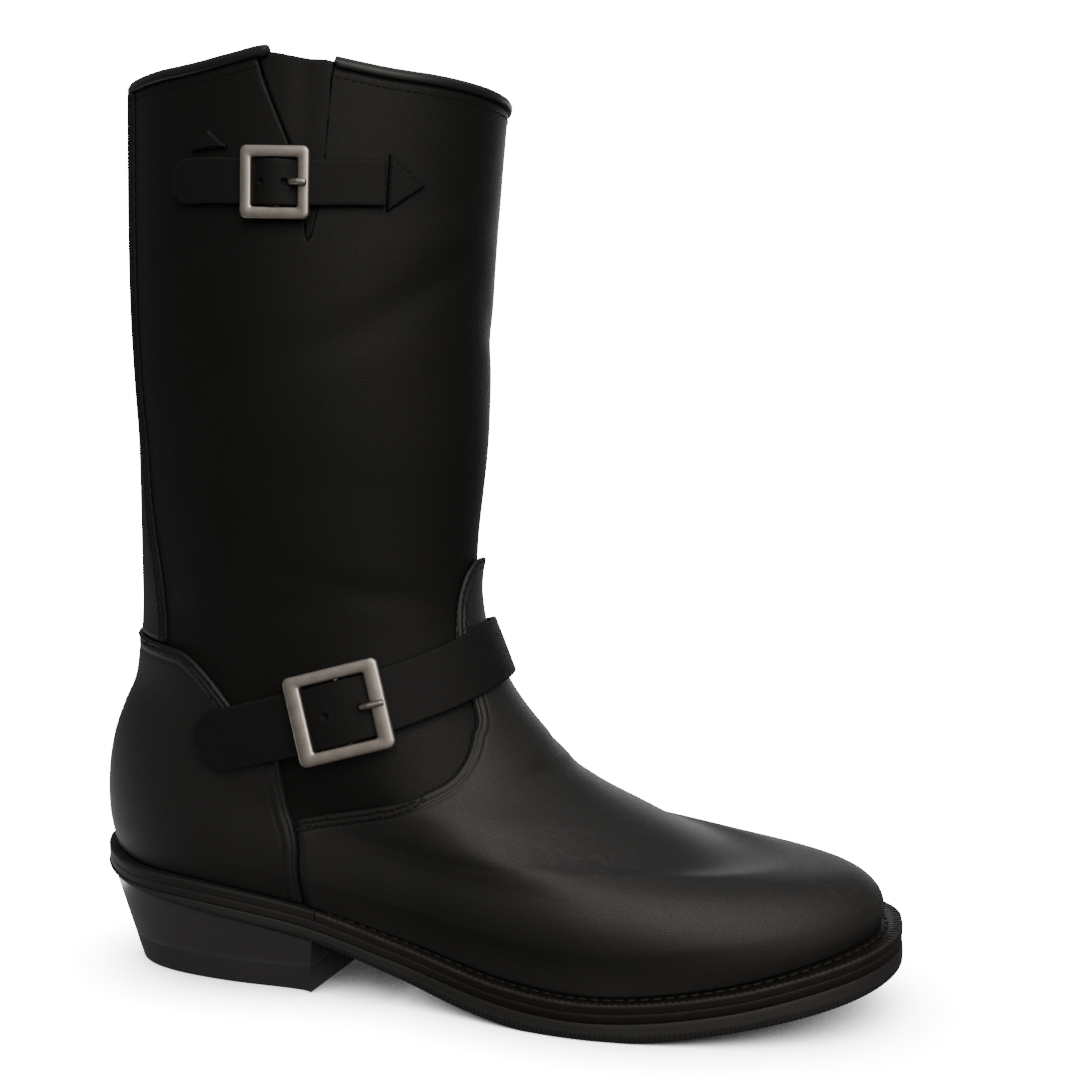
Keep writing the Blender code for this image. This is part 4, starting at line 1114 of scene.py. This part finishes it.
STACK = ((0.0, between(1.0), 0.0), (0.0, between(1.0), 0.97), (0.0, between(1.0), 1.0), (0.02, between(0.97), 1.0),
         (0.18, between(0.75), 1.0), (0.36, between(0.5), 1.0), (0.54, between(0.25), 1.0),
         (0.70, between(0.03), 1.0), (0.72, between(0.0), 0.997), (0.72, between(0.0), 0.0))
RUBBER_LIFT = ((0.72, flat(10.2), 0.0), (0.72, flat(10.2), 0.997), (0.725, flat(10.05), 1.0), (0.83, flat(6.0), 1.0),
               (0.92, flat(3.0), 1.0), (0.985, flat(0.55), 1.0), (1.0, flat(0.0), 0.985), (1.0, flat(0.0), 0.6),
               (1.0, flat(0.0), 0.0))
for name, levels, finish, slot, node_name in (
        ("heel_stack_leather", STACK, heel_wax, "heel_leather", "heel_stack"),
        ("heel_lift_rubber", RUBBER_LIFT, lift_rubber, "sole_rubber", "heel_lift")):
    shape = heel_shape(levels)
    bm = grid(240, 3 * (len(levels) - 1), shape, close=True)
    mark_rim(bm, edge_line(shape, (len(levels) - 2) / (len(levels) - 1), 900), 1.2)
    add_piece(name, bm, finish, slot, (node_name,), sharp=35)

# %% Insole, seen from above through the shaft
INSIDE = (
    # share from the middle line to the edge, distance inside the feather line, height over the welt's top
    (0.0, 5.0, 2.7), (0.5, 5.0, 2.7), (0.9, 5.0, 2.8), (1.0, 3.4, 2.7), (1.0, 3.0, 2.2), (1.0, 3.0, -3.0),
    (0.5, 3.0, -3.0), (0.0, 3.0, -3.0))
INSOLE_EDGE = 3.0


def insole_shape(u, v):
    angle = -180 + 360 * u
    across, inside, rise = read(INSIDE, v * (len(INSIDE) - 1))
    centre = (feather(angle, INSOLE_EDGE) + feather(-angle, INSOLE_EDGE)) / 2
    plan = centre + (feather(angle, inside) - centre) * across[:, None]
    return raised(plan, curve(WELT_TOP, plan[..., 0]) + rise)


bm = grid(240, 3 * (len(INSIDE) - 1), insole_shape, close=True)
add_piece("insole_leather", bm, sock_hide, "lining", ("insole",))

# %% [markdown]
# ## Straps and buckles
# The instep strap runs from the inner side around the front, through the outer buckle and back along the counter.
# The top strap tightens the slot. A strap lies straight across on a bulging wall, so the CAD finds its seat on the
# surface of the last at each step, and the same is done here with more steps, rounded edges and punched holes.

# %% Sizes of the straps
STRAPS = {
    "instep": {
        "angle": (-122.4, -114, -100.5, -78.5, -63, -41.5, -11.5, 12, 41.5, 63, 90, 118),
        "height": (91.9, 95.2, 100.0, 106.7, 111.0, 117.0, 123.0, 123.4, 117.5, 111.5, 103.5, 94.0),
        "width": 23.0, "thick": 2.6, "clear": 3.1, "lift": 0.9, "buckle": -75.3, "steps": 330,
        "length": 35.0, "tall": 32.2, "bar": 5.8, "rail": 4.4, "plate": 2.6, "corner": 2.6},
    "top": {
        "angle": (-119.5, -105.5, -85.5, -65, -55.2),
        "height": (290.6, 290.4, 288.6, 288.8, 288.9),
        "width": 15.2, "thick": 2.2, "clear": 0.9, "lift": 2.6, "buckle": -85.5, "steps": 150,
        "length": 23.6, "tall": 23.8, "bar": 3.9, "rail": 3.9, "plate": 2.2, "corner": 2.2},
}


def last_surface():
    """Fine copy of the last for laying straps on, as the CAD has it."""
    bm = bmesh.new()
    bmesh.ops.create_grid(bm, x_segments=180, y_segments=139, size=0.5)
    flat = np.array([vert.co for vert in bm.verts]) + 0.5
    for vert, point in zip(bm.verts, last_point(flat[:, 0] * 360, flat[:, 1] * COLLAR)):
        vert.co = point
    bm.normal_update()
    surface = BVHTree.FromBMesh(bm)
    bm.free()
    return surface


bare_last = last_surface()
print("straps:", ", ".join(STRAPS))


# %% Route of a strap
class Route:
    """Middle line of a strap over the last, read by its length from the free tip."""

    def __init__(self, sizes):
        self.sizes = sizes
        self.angle = np.linspace(sizes["angle"][0], sizes["angle"][-1], 400)
        height = curve((sizes["angle"], sizes["height"]), self.angle)
        self.points = last_point(self.angle, row_at_height(self.angle, height))
        steps = np.linalg.norm(np.diff(self.points, axis=0), axis=1)
        self.distance = np.concatenate([[0.0], np.cumsum(steps)])
        self.length = self.distance[-1]
        self.buckle = float(np.interp(sizes["buckle"], self.angle, self.distance))
        self.window = sizes["length"] / 2 - sizes["bar"] - 1.0

    def seat(self, point):
        place, normal, _, _ = bare_last.find_nearest(Vector(point))
        return np.array(place), np.array(normal)

    def point(self, distance):
        return np.array([np.interp(distance, self.distance, self.points[:, k]) for k in range(3)])

    def axes(self, distance):
        """Place on the last, with the directions along the strap, across it and outwards."""
        place, out = self.seat(self.point(distance))
        along = self.point(min(distance + 1, self.length)) - self.point(max(distance - 1, 0))
        across = np.cross(out, along)
        across = across / np.linalg.norm(across)
        return place, np.column_stack([np.cross(across, out), across, out])

    def section(self, distance):
        """Lower edge, middle and upper edge of the strap's underside, and the outward direction."""
        place, axes = self.axes(distance)
        half = self.sizes["width"] / 2
        reach = math.sqrt(max(half ** 2 - (half - distance) ** 2, 0.0)) if distance < half else half
        bump = max(0.0, 1 - ((distance - self.buckle) / self.window) ** 2)
        clear = self.sizes["clear"] + self.sizes["lift"] * bump
        edges = []
        for side in (-1, 1):
            seat, normal = self.seat(place + axes[:, 1] * reach * side)
            edges.append(seat + normal * clear)
        straight = (edges[0] + edges[1]) / 2
        seated = place + axes[:, 2] * clear
        middle = straight if (straight - seated) @ axes[:, 2] > 0 else seated
        return np.array([edges[0], middle, edges[1]]), axes[:, 2]


# %% Straps with rounded edges and punched holes
ACROSS = np.array((0, 0.012, 0.03, 0.055, 0.09, 0.16, 0.25, 0.34, 0.41, 0.44, 0.455, 0.47, 0.485))
ACROSS = np.concatenate([ACROSS, (0.5,), 1 - ACROSS[::-1]])
STRAP_ROLL, STRAP_DROP = 0.9, 0.75
CREASE_IN, CREASE_DEPTH = 2.0, 0.06
HOLE_DEPTH, HOLE_RIDGE = 1.5, 0.12


def holes_of(route):
    """The hole that the prong uses, and the next one towards the tip."""
    prong = route.buckle + route.sizes["length"] / 2 - route.sizes["bar"] - 4.6
    return prong, prong - route.sizes["width"] * 0.52


def strap_stops(route):
    """Lengths at which the strap is cut across: closer at the tip and around its two holes."""
    plain = np.linspace(0.4, route.length, route.sizes["steps"])
    tip = route.sizes["width"] / 2 * (1 - np.cos(np.linspace(0.1, 1.5, 14)))
    fine = [hole + np.linspace(-2, 2, 15) for hole in holes_of(route)]
    return np.unique(np.round(np.concatenate([plain, tip, *fine]), 2))


def strap_shape(route):
    stops = strap_stops(route)
    lows, outs = (np.array(part) for part in zip(*(route.section(stop) for stop in stops)))
    width, thick = route.sizes["width"], route.sizes["thick"]

    def shape(u, v):
        k = np.round(u * (len(stops) - 1)).astype(int)
        share = np.interp(v, np.linspace(0, 1, len(ACROSS)), ACROSS)
        low = lows[k]
        part = np.clip(np.abs(share - 0.5) * 2, 0, 1)[:, None]
        side = np.where(share[:, None] < 0.5, low[:, 0], low[:, 2])
        line = low[:, 1] + (side - low[:, 1]) * part
        edge = np.minimum(share, 1 - share) * width
        edge = np.minimum(edge, np.maximum(stops[k] - stops[0], 0) * 1.2)
        roll = np.clip(edge / STRAP_ROLL, 0, 1)
        rise = thick - STRAP_DROP * (1 - np.sqrt(1 - (1 - roll) ** 2))
        rise = rise - CREASE_DEPTH * np.exp(-((edge - CREASE_IN) / 0.4) ** 2)
        for hole in holes_of(route):
            away = np.hypot(stops[k] - hole, (share - 0.5) * width)
            rise = rise - HOLE_DEPTH * np.clip(1.6 - away / 0.75, 0, 1)
            rise = rise + HOLE_RIDGE * np.exp(-((away - 1.7) / 0.4) ** 2)
        return line + outs[k] * rise[:, None]

    return shape, len(stops) - 1


routes = {name: Route(sizes) for name, sizes in STRAPS.items()}
for name, route in routes.items():
    shape, columns = strap_shape(route)
    bm = grid(columns, len(ACROSS) - 1, shape)
    mark_rim(bm, np.concatenate([edge_line(shape, side, 1500) for side in (0.0, 1.0)]), 1.1)
    strap = add_piece(f"{name}_strap_leather", bm, strap_hide, "strap_leather", (f"{name}_strap",))
    thicken(strap, route.sizes["thick"] - 0.8)

# %% [markdown]
# ## Buckle frames and prongs
# A buckle frame is a cast plate with a square window and soft edges. It could be an inset and extruded face, but its
# outer corners are rounder than its window's, so the section of the plate is carried around the window instead.
# A low bar under the strap carries the prong, which comes up through the strap and rests on the front bar.

# %% Buckles
FRAME_SECTION = (
    # share of the way from the outer edge to the window, share of the plate's thickness
    (0.10, 0.0), (0.02, 0.06), (0.0, 0.2), (0.0, 0.62), (0.03, 0.80), (0.09, 0.92), (0.20, 0.99), (0.5, 1.0),
    (0.80, 0.99), (0.91, 0.92), (0.97, 0.80), (1.0, 0.62), (1.0, 0.2), (0.98, 0.06), (0.90, 0.0), (0.10, 0.0))
FRAME_STEPS = len(FRAME_SECTION) - 1
CORNER_STEPS = 8
LOOP_STEPS = 4 * (CORNER_STEPS + 1)


def buckle_floor(route, place, out):
    """Height of the frame's underside above the last: just clear of the strap."""
    reach, bar = route.sizes["length"] / 2, route.sizes["bar"]
    tops = []
    for offset in (-reach, bar - reach, reach - bar, reach):
        low, direction = route.section(route.buckle + offset)
        tops += list((low + direction * route.sizes["thick"] - place) @ out)
    return max(tops) + GAP


def rounded_loop(step, half_x, half_y, corner):
    """Points around a rectangle with round corners; step counts along its corner points."""
    k = np.round(step).astype(int) % LOOP_STEPS
    quarter, part = k // (CORNER_STEPS + 1), k % (CORNER_STEPS + 1)
    turn = np.radians(90 * quarter + 90 * part / CORNER_STEPS)
    sx, sy = np.array((1, -1, -1, 1))[quarter], np.array((1, 1, -1, -1))[quarter]
    return np.stack([sx * (half_x - corner) + corner * np.cos(turn),
                     sy * (half_y - corner) + corner * np.sin(turn)], -1)


def frame_shape(sizes, place, axes, floor):
    """Frame over the strap: a section of the plate carried around the window."""
    length, tall, corner = sizes["length"] / 2, sizes["tall"] / 2, sizes["corner"]

    def shape(u, v):
        outer = rounded_loop(u * LOOP_STEPS, length, tall, corner)
        inner = rounded_loop(u * LOOP_STEPS, length - sizes["bar"], tall - sizes["rail"], corner / 3)
        share, rise = read(FRAME_SECTION, v * FRAME_STEPS)
        level = outer + (inner - outer) * share[:, None]
        return raised(level, floor + sizes["plate"] * rise) @ axes.T + place

    return shape


def rod(columns, rows, corners, radius, flank):
    """Round rod through corners, its ends closed in a round nose; flank is a direction square to all of it."""
    knots, corners = np.linspace(0, 1, len(corners)), np.asarray(corners, float)
    share = np.linspace(0, 1, 9 * (len(corners) - 1) + 1)
    nose = np.clip(np.minimum(share, 1 - share) / 0.05, 0, 1)
    sizes = radius * np.sqrt(1 - (1 - nose) ** 2)

    def path(at):
        return np.stack([np.interp(at, knots, corners[:, k]) for k in range(3)], -1)

    def shape(u, v):
        side = np.cross(path(np.minimum(v + 0.02, 1)) - path(np.maximum(v - 0.02, 0)), flank)
        side = side / np.linalg.norm(side, axis=-1, keepdims=True)
        turn, size = 2 * np.pi * u, np.interp(v, share, sizes)
        return path(v) + (np.cos(turn) * size)[:, None] * flank + (np.sin(turn) * size)[:, None] * side

    return grid(columns, rows, shape, close=True)


# %% Frames, bars and prongs in place
BAR_RADIUS, BAR_CLEAR, BAR_BEND, BAR_SUNK = 0.95, 0.9, 1.2, 0.8
PRONG_RADIUS = 1.1
for name, route in routes.items():
    sizes = route.sizes
    place, axes = route.axes(route.buckle)
    floor = buckle_floor(route, place, axes[:, 2])
    shape = frame_shape(sizes, place, axes, floor)
    bm = grid(LOOP_STEPS, FRAME_STEPS, shape, close=True)
    edges = [edge_line(shape, k / FRAME_STEPS, LOOP_STEPS + 1) for k in (4, 10)]
    mark_rim(bm, np.concatenate(edges), 0.8)
    end = sizes["tall"] / 2 - sizes["rail"] / 2
    low = BAR_CLEAR + BAR_RADIUS
    corners = [(0, -end, floor + BAR_SUNK), (0, -end, low + BAR_BEND), (0, BAR_BEND - end, low), (0, 0, low),
               (0, end - BAR_BEND, low), (0, end, low + BAR_BEND), (0, end, floor + BAR_SUNK)]
    bar = rod(12, 60, [axes @ np.array(corner) + place for corner in corners], BAR_RADIUS, axes[:, 0])
    mesh = bpy.data.meshes.new("bar")
    bar.to_mesh(mesh)
    bar.free()
    bm.from_mesh(mesh)
    bpy.data.meshes.remove(mesh)
    add_piece(f"{name}_buckle_frame", bm, nickel, "brushed_nickel", (f"{name}_buckle",))

    reach = sizes["length"] / 2
    start = reach - 1.5 * sizes["bar"]
    low_line, out = route.section(route.buckle + start)
    strap_top = (low_line[1] + out * sizes["thick"] - place) @ axes[:, 2]
    rest = floor + sizes["plate"] + GAP + PRONG_RADIUS
    rise = max(strap_top + GAP + PRONG_RADIUS, rest - 1.2)
    corners = [(start - 0.9, 0, strap_top - 0.6), (start, 0, rise - 0.1), (start + 2.5, 0, rest),
               (reach - 1.6, 0, rest), (reach - 0.4, 0, rest - 0.2)]
    bm = rod(16, 48, [axes @ np.array(corner) + place for corner in corners], PRONG_RADIUS, axes[:, 1])
    add_piece(f"{name}_prong_pin", bm, nickel, "brushed_nickel", (f"{name}_prong",))

# %% [markdown]
# ## Patches that hold the top strap
# The strap's sewn end and its loop are each held by a three-cornered patch on the shaft, with stitches around its
# edge. A patch is a small panel whose columns run to its point.

# %% Patches
PATCHES = {"front": ((-54.3, -42.0, -54.3), (279.5, 288.9, 299.0)),
           "back": ((-113.5, -101.0, -107.0), (300.6, 301.0, 307.5))}
PATCH_SIDE = 250
patches = {}
for name, (angles, heights) in PATCHES.items():
    def patch_spot(u, v, angles=angles, heights=heights):
        reach = 0.985 * (1 - (1 - u) ** 1.3)
        side_angle = angles[0] + (angles[2] - angles[0]) * v
        side_height = heights[0] + (heights[2] - heights[0]) * v
        angle = side_angle + (angles[1] - side_angle) * reach
        return angle, row_at_height(angle, side_height + (heights[1] - side_height) * reach)

    ends = np.linspace(0, 1, PATCH_SIDE)
    sides = [edge_line(patch_spot, side, PATCH_SIDE) for side in (0.0, 1.0)]
    sides += [patch_spot(np.full(PATCH_SIDE, end), ends) for end in (0.0, 1.0)]
    patches[name] = panel(f"top_strap_{name}_patch", 44, 44, patch_spot, sides, strap_hide, slot="strap_leather")

# %% [markdown]
# ## Stitches
# Each row of stitches is a line of short, thick threads that dip into the leather at both ends. One stitch is a
# stretched ball of a few faces; copies are laid along a line that keeps its distance from the panel's edge, and the
# panel's own surface gives the height and the direction that the thread lies in.

# %% Laying a row of stitches
STITCH = bpy.data.meshes.new("stitch")
bm = bmesh.new()
bmesh.ops.create_uvsphere(bm, u_segments=8, v_segments=6, radius=0.5, matrix=Matrix.Rotation(math.radians(90), 4, "Y"))
bm.to_mesh(STITCH)
bm.free()


def inward_line(edge, distance, surface, towards):
    """Points at a distance from an edge, on a panel's surface; towards(point) tells which side is inside."""
    points = in_frame(edge)
    along = np.gradient(points, axis=0)
    along = along / np.maximum(np.linalg.norm(along, axis=1, keepdims=True), 1e-12)
    line = []
    for point, ahead in zip(points, along):
        _, normal, _, _ = surface.find_nearest(Vector(point))
        side = np.cross(np.array(normal), ahead)
        side = side / max(np.linalg.norm(side), 1e-9)
        if side @ towards(point) < 0:
            side = -side
        place, normal, _, _ = surface.find_nearest(Vector(point + side * distance * MM))
        line.append((np.array(place), np.array(normal)))
    return line


def sew(name, lines, pitch, length, thick, thread, slot):
    """Rows of stitches as one piece."""
    pitch, length, thick = pitch * MM, length * MM, thick * MM
    bm = bmesh.new()
    count = 0
    for line in lines:
        places, normals = (np.array(part) for part in zip(*line))
        run = np.concatenate([[0.0], np.cumsum(np.linalg.norm(np.diff(places, axis=0), axis=1))])

        def at(table, where):
            return Vector([np.interp(where, run, table[:, k]) for k in range(3)])

        for middle in np.arange(pitch / 2, run[-1], pitch):
            ahead = at(places, middle + 0.3 * pitch) - at(places, middle - 0.3 * pitch)
            out = at(normals, middle)
            if ahead.length < 1e-6 or out.length < 1e-6:
                continue
            ahead.normalize()
            flank = out.cross(ahead).normalized()
            out = ahead.cross(flank)
            lie = Matrix((ahead * length, flank * thick, out * thick * 0.9)).transposed().to_4x4()
            lie.translation = at(places, middle) + out * thick * 0.10
            first = len(bm.verts)
            bm.from_mesh(STITCH)
            bm.verts.ensure_lookup_table()
            bmesh.ops.transform(bm, matrix=lie, verts=bm.verts[first:])
            count += 1
    bmesh.ops.recalc_face_normals(bm, faces=bm.faces[:])
    print(name, count, "stitches")
    add_piece(name, bm, thread, slot)


def down(point):
    return np.array((0.0, 0.0, -1.0))


# %% Panel stitching
PANEL_STITCH = (3.0, 2.5, 0.75)
vamp_rows = [inward_line(vamp_border[::2], d, vamp_surface, down) for d in VAMP_GROOVES]
sew("vamp_stitching", vamp_rows, *PANEL_STITCH, black_thread, "oiled_leather")

seams = np.split(counter_border[COUNTER_TOP:], 2)
heel_middle = np.array((-0.095, 0.003, 0.085))
counter_rows = []
for d in COUNTER_GROOVES:
    counter_rows.append(inward_line(counter_border[:COUNTER_TOP:2], d, counter_surface, down))
    for seam in seams:
        counter_rows.append(inward_line(seam[:-12], d, counter_surface, lambda point: heel_middle - point))
sew("counter_stitching", counter_rows, *PANEL_STITCH, black_thread, "oiled_leather")

stay_rows = []
for side in np.split(stay_border, 2):
    for d in (1.7, 4.4):
        stay_rows.append(inward_line(side, d, stay_surface, lambda point: np.array((-0.2, 0.003, point[2])) - point))
sew("back_stay_stitching", stay_rows, 2.8, 2.3, 0.75, black_thread, "oiled_leather")

patch_rows = []
for surface, border in patches.values():
    middle = in_frame(border.mean(0))
    for side in np.split(border, 4)[:3]:
        patch_rows.append(inward_line(side, 2.0, surface, lambda point: middle - point))
sew("patch_stitching", patch_rows, 2.4, 1.9, 0.6, black_thread, "strap_leather")

# %% Collar and welt stitching
turns = np.linspace(-70.5, 266.5, 900)
collar_rows = [inward_line(wall(turns, rim_row(turns)), 3.2, upper_surface, down)]
sew("collar_stitching", collar_rows, 2.6, 2.1, 0.6, black_thread, "oiled_leather")

steps, _ = even_angle(np.linspace(0, 1, 1500), -111.5, 111.5)
plan = on_ledge(steps, 0.0, STITCH_SHARE)
places = in_frame(raised(plan, curve(WELT_TOP, plan[:, 0]) - 0.22))
welt_row = [(place, np.array((0.0, 0.0, 1.0))) for place in places]
sew("welt_stitching", [welt_row], 4.3, 3.5, 1.15, welt_thread, "welt_leather")

# %% [markdown]
# ## Floor and light
# The boot stands on a plain pale floor in front of a white ground. The camera sees both over-exposed, with only a
# short shadow where the sole meets the floor; the boot itself sees a grey floor. Black leather shows what it
# mirrors: a white ground behind the boot gives bright rims on the shaft and the ridge of the vamp, a soft box above
# and in front gives the broad glow on the vamp, a small one low behind the heel draws the heel's back edge, and the
# dark room on the camera's side keeps the shaft black.

# %% Floor
SEEN_WHITE = 20.0
SHADOW_REACH = 0.035
SHADOW_DEPTH = 2.5
FLOOR_GREY = (0.18, 0.18, 0.18, 1.0)
FLOOR_HALF = 12.0


def pale_floor():
    """Pale paper: the camera sees it over-exposed, with the shadow at the sole; the boot sees plain grey."""
    material, tree, shader = new_finish("pale_floor", Specular_IOR_Level=0.1, Roughness=0.7, Base_Color=FLOOR_GREY)
    shade = node(tree, "AmbientOcclusion", Distance=SHADOW_REACH, samples=16)
    paper = node(tree, "Emission", Strength=times(sums("POWER", shade.outputs["AO"], SHADOW_DEPTH), SEEN_WHITE))
    seen = node(tree, "MixShader", Fac=node(tree, "LightPath").outputs["Is Camera Ray"])
    link(shader.outputs[0], seen.inputs[1])
    link(paper.outputs[0], seen.inputs[2])
    link(seen.outputs[0], tree.nodes["Material Output"].inputs["Surface"])
    return material


bm = bmesh.new()
bmesh.ops.create_grid(bm, x_segments=8, y_segments=8, size=FLOOR_HALF)
mesh = bpy.data.meshes.new("floor")
bm.to_mesh(mesh)
bm.free()
mesh.materials.append(pale_floor())
floor = bpy.data.objects.new("floor", mesh)
bpy.context.scene.collection.objects.link(floor)
print("floor", 2 * FLOOR_HALF, "m wide")

# %% White ground behind, dark room in front
LOW_BEHIND = 0.6
BEHIND = {"low": 0.28, "high": 6.5, "From_Min": 0.66, "From_Max": 1.15, "interpolation_type": "SMOOTHSTEP"}
OVERHEAD = {"low": 0.0, "high": 0.12, "From_Min": 0.45, "From_Max": 1.0, "interpolation_type": "SMOOTHSTEP"}


def studio_world():
    """White low behind the boot, faint overhead, dark on the camera's side."""
    world = bpy.data.worlds.new("studio")
    world.use_nodes = True
    tree = world.node_tree
    background = tree.nodes["Background"]
    parts = node(tree, "SeparateXYZ", Vector=node(tree, "TexCoord").outputs["Generated"]).outputs
    behind = spread(sums("SUBTRACT", parts["Y"], times(parts["Z"], LOW_BEHIND)), **BEHIND)
    lit = sums("MAXIMUM", behind, spread(parts["Z"], **OVERHEAD))
    ground = times(node(tree, "LightPath").outputs["Is Camera Ray"], SEEN_WHITE)
    link(sums("MAXIMUM", lit, ground), background.inputs["Strength"])
    background.inputs["Color"].default_value = (1.0, 1.0, 1.0, 1.0)
    return world


bpy.context.scene.world = studio_world()


def soft_box(name, place, aim, size, power, colour=(1.0, 1.0, 1.0)):
    """Square area light that looks at a point."""
    lamp = bpy.data.lights.new(name, "AREA")
    lamp.size = size
    lamp.energy = power
    lamp.color = colour
    box = bpy.data.objects.new(name, lamp)
    box.location = place
    box.rotation_euler = (Vector(aim) - Vector(place)).to_track_quat("-Z", "Y").to_euler()
    box.visible_camera = False
    bpy.context.scene.collection.objects.link(box)


soft_box("top_box", (0.1, 0.3, 2.2), (0.0, 0.0, 0.1), 2.0, 12.0)
soft_box("front_box", (0.60, -1.18, 0.85), (0.08, -0.02, 0.05), 1.2, 30.0, (1.0, 0.95, 0.90))
soft_box("heel_box", (-0.385, 0.12, 0.004), (-0.385, 0.12, 1.0), 0.4, 0.75)
print("world and 3 soft boxes")

# %% [markdown]
# ## Final update
# The finer pieces must stay in the CAD's box, apart from a little leather that stands proud.

# %% Update the view layer
bpy.context.view_layer.update()
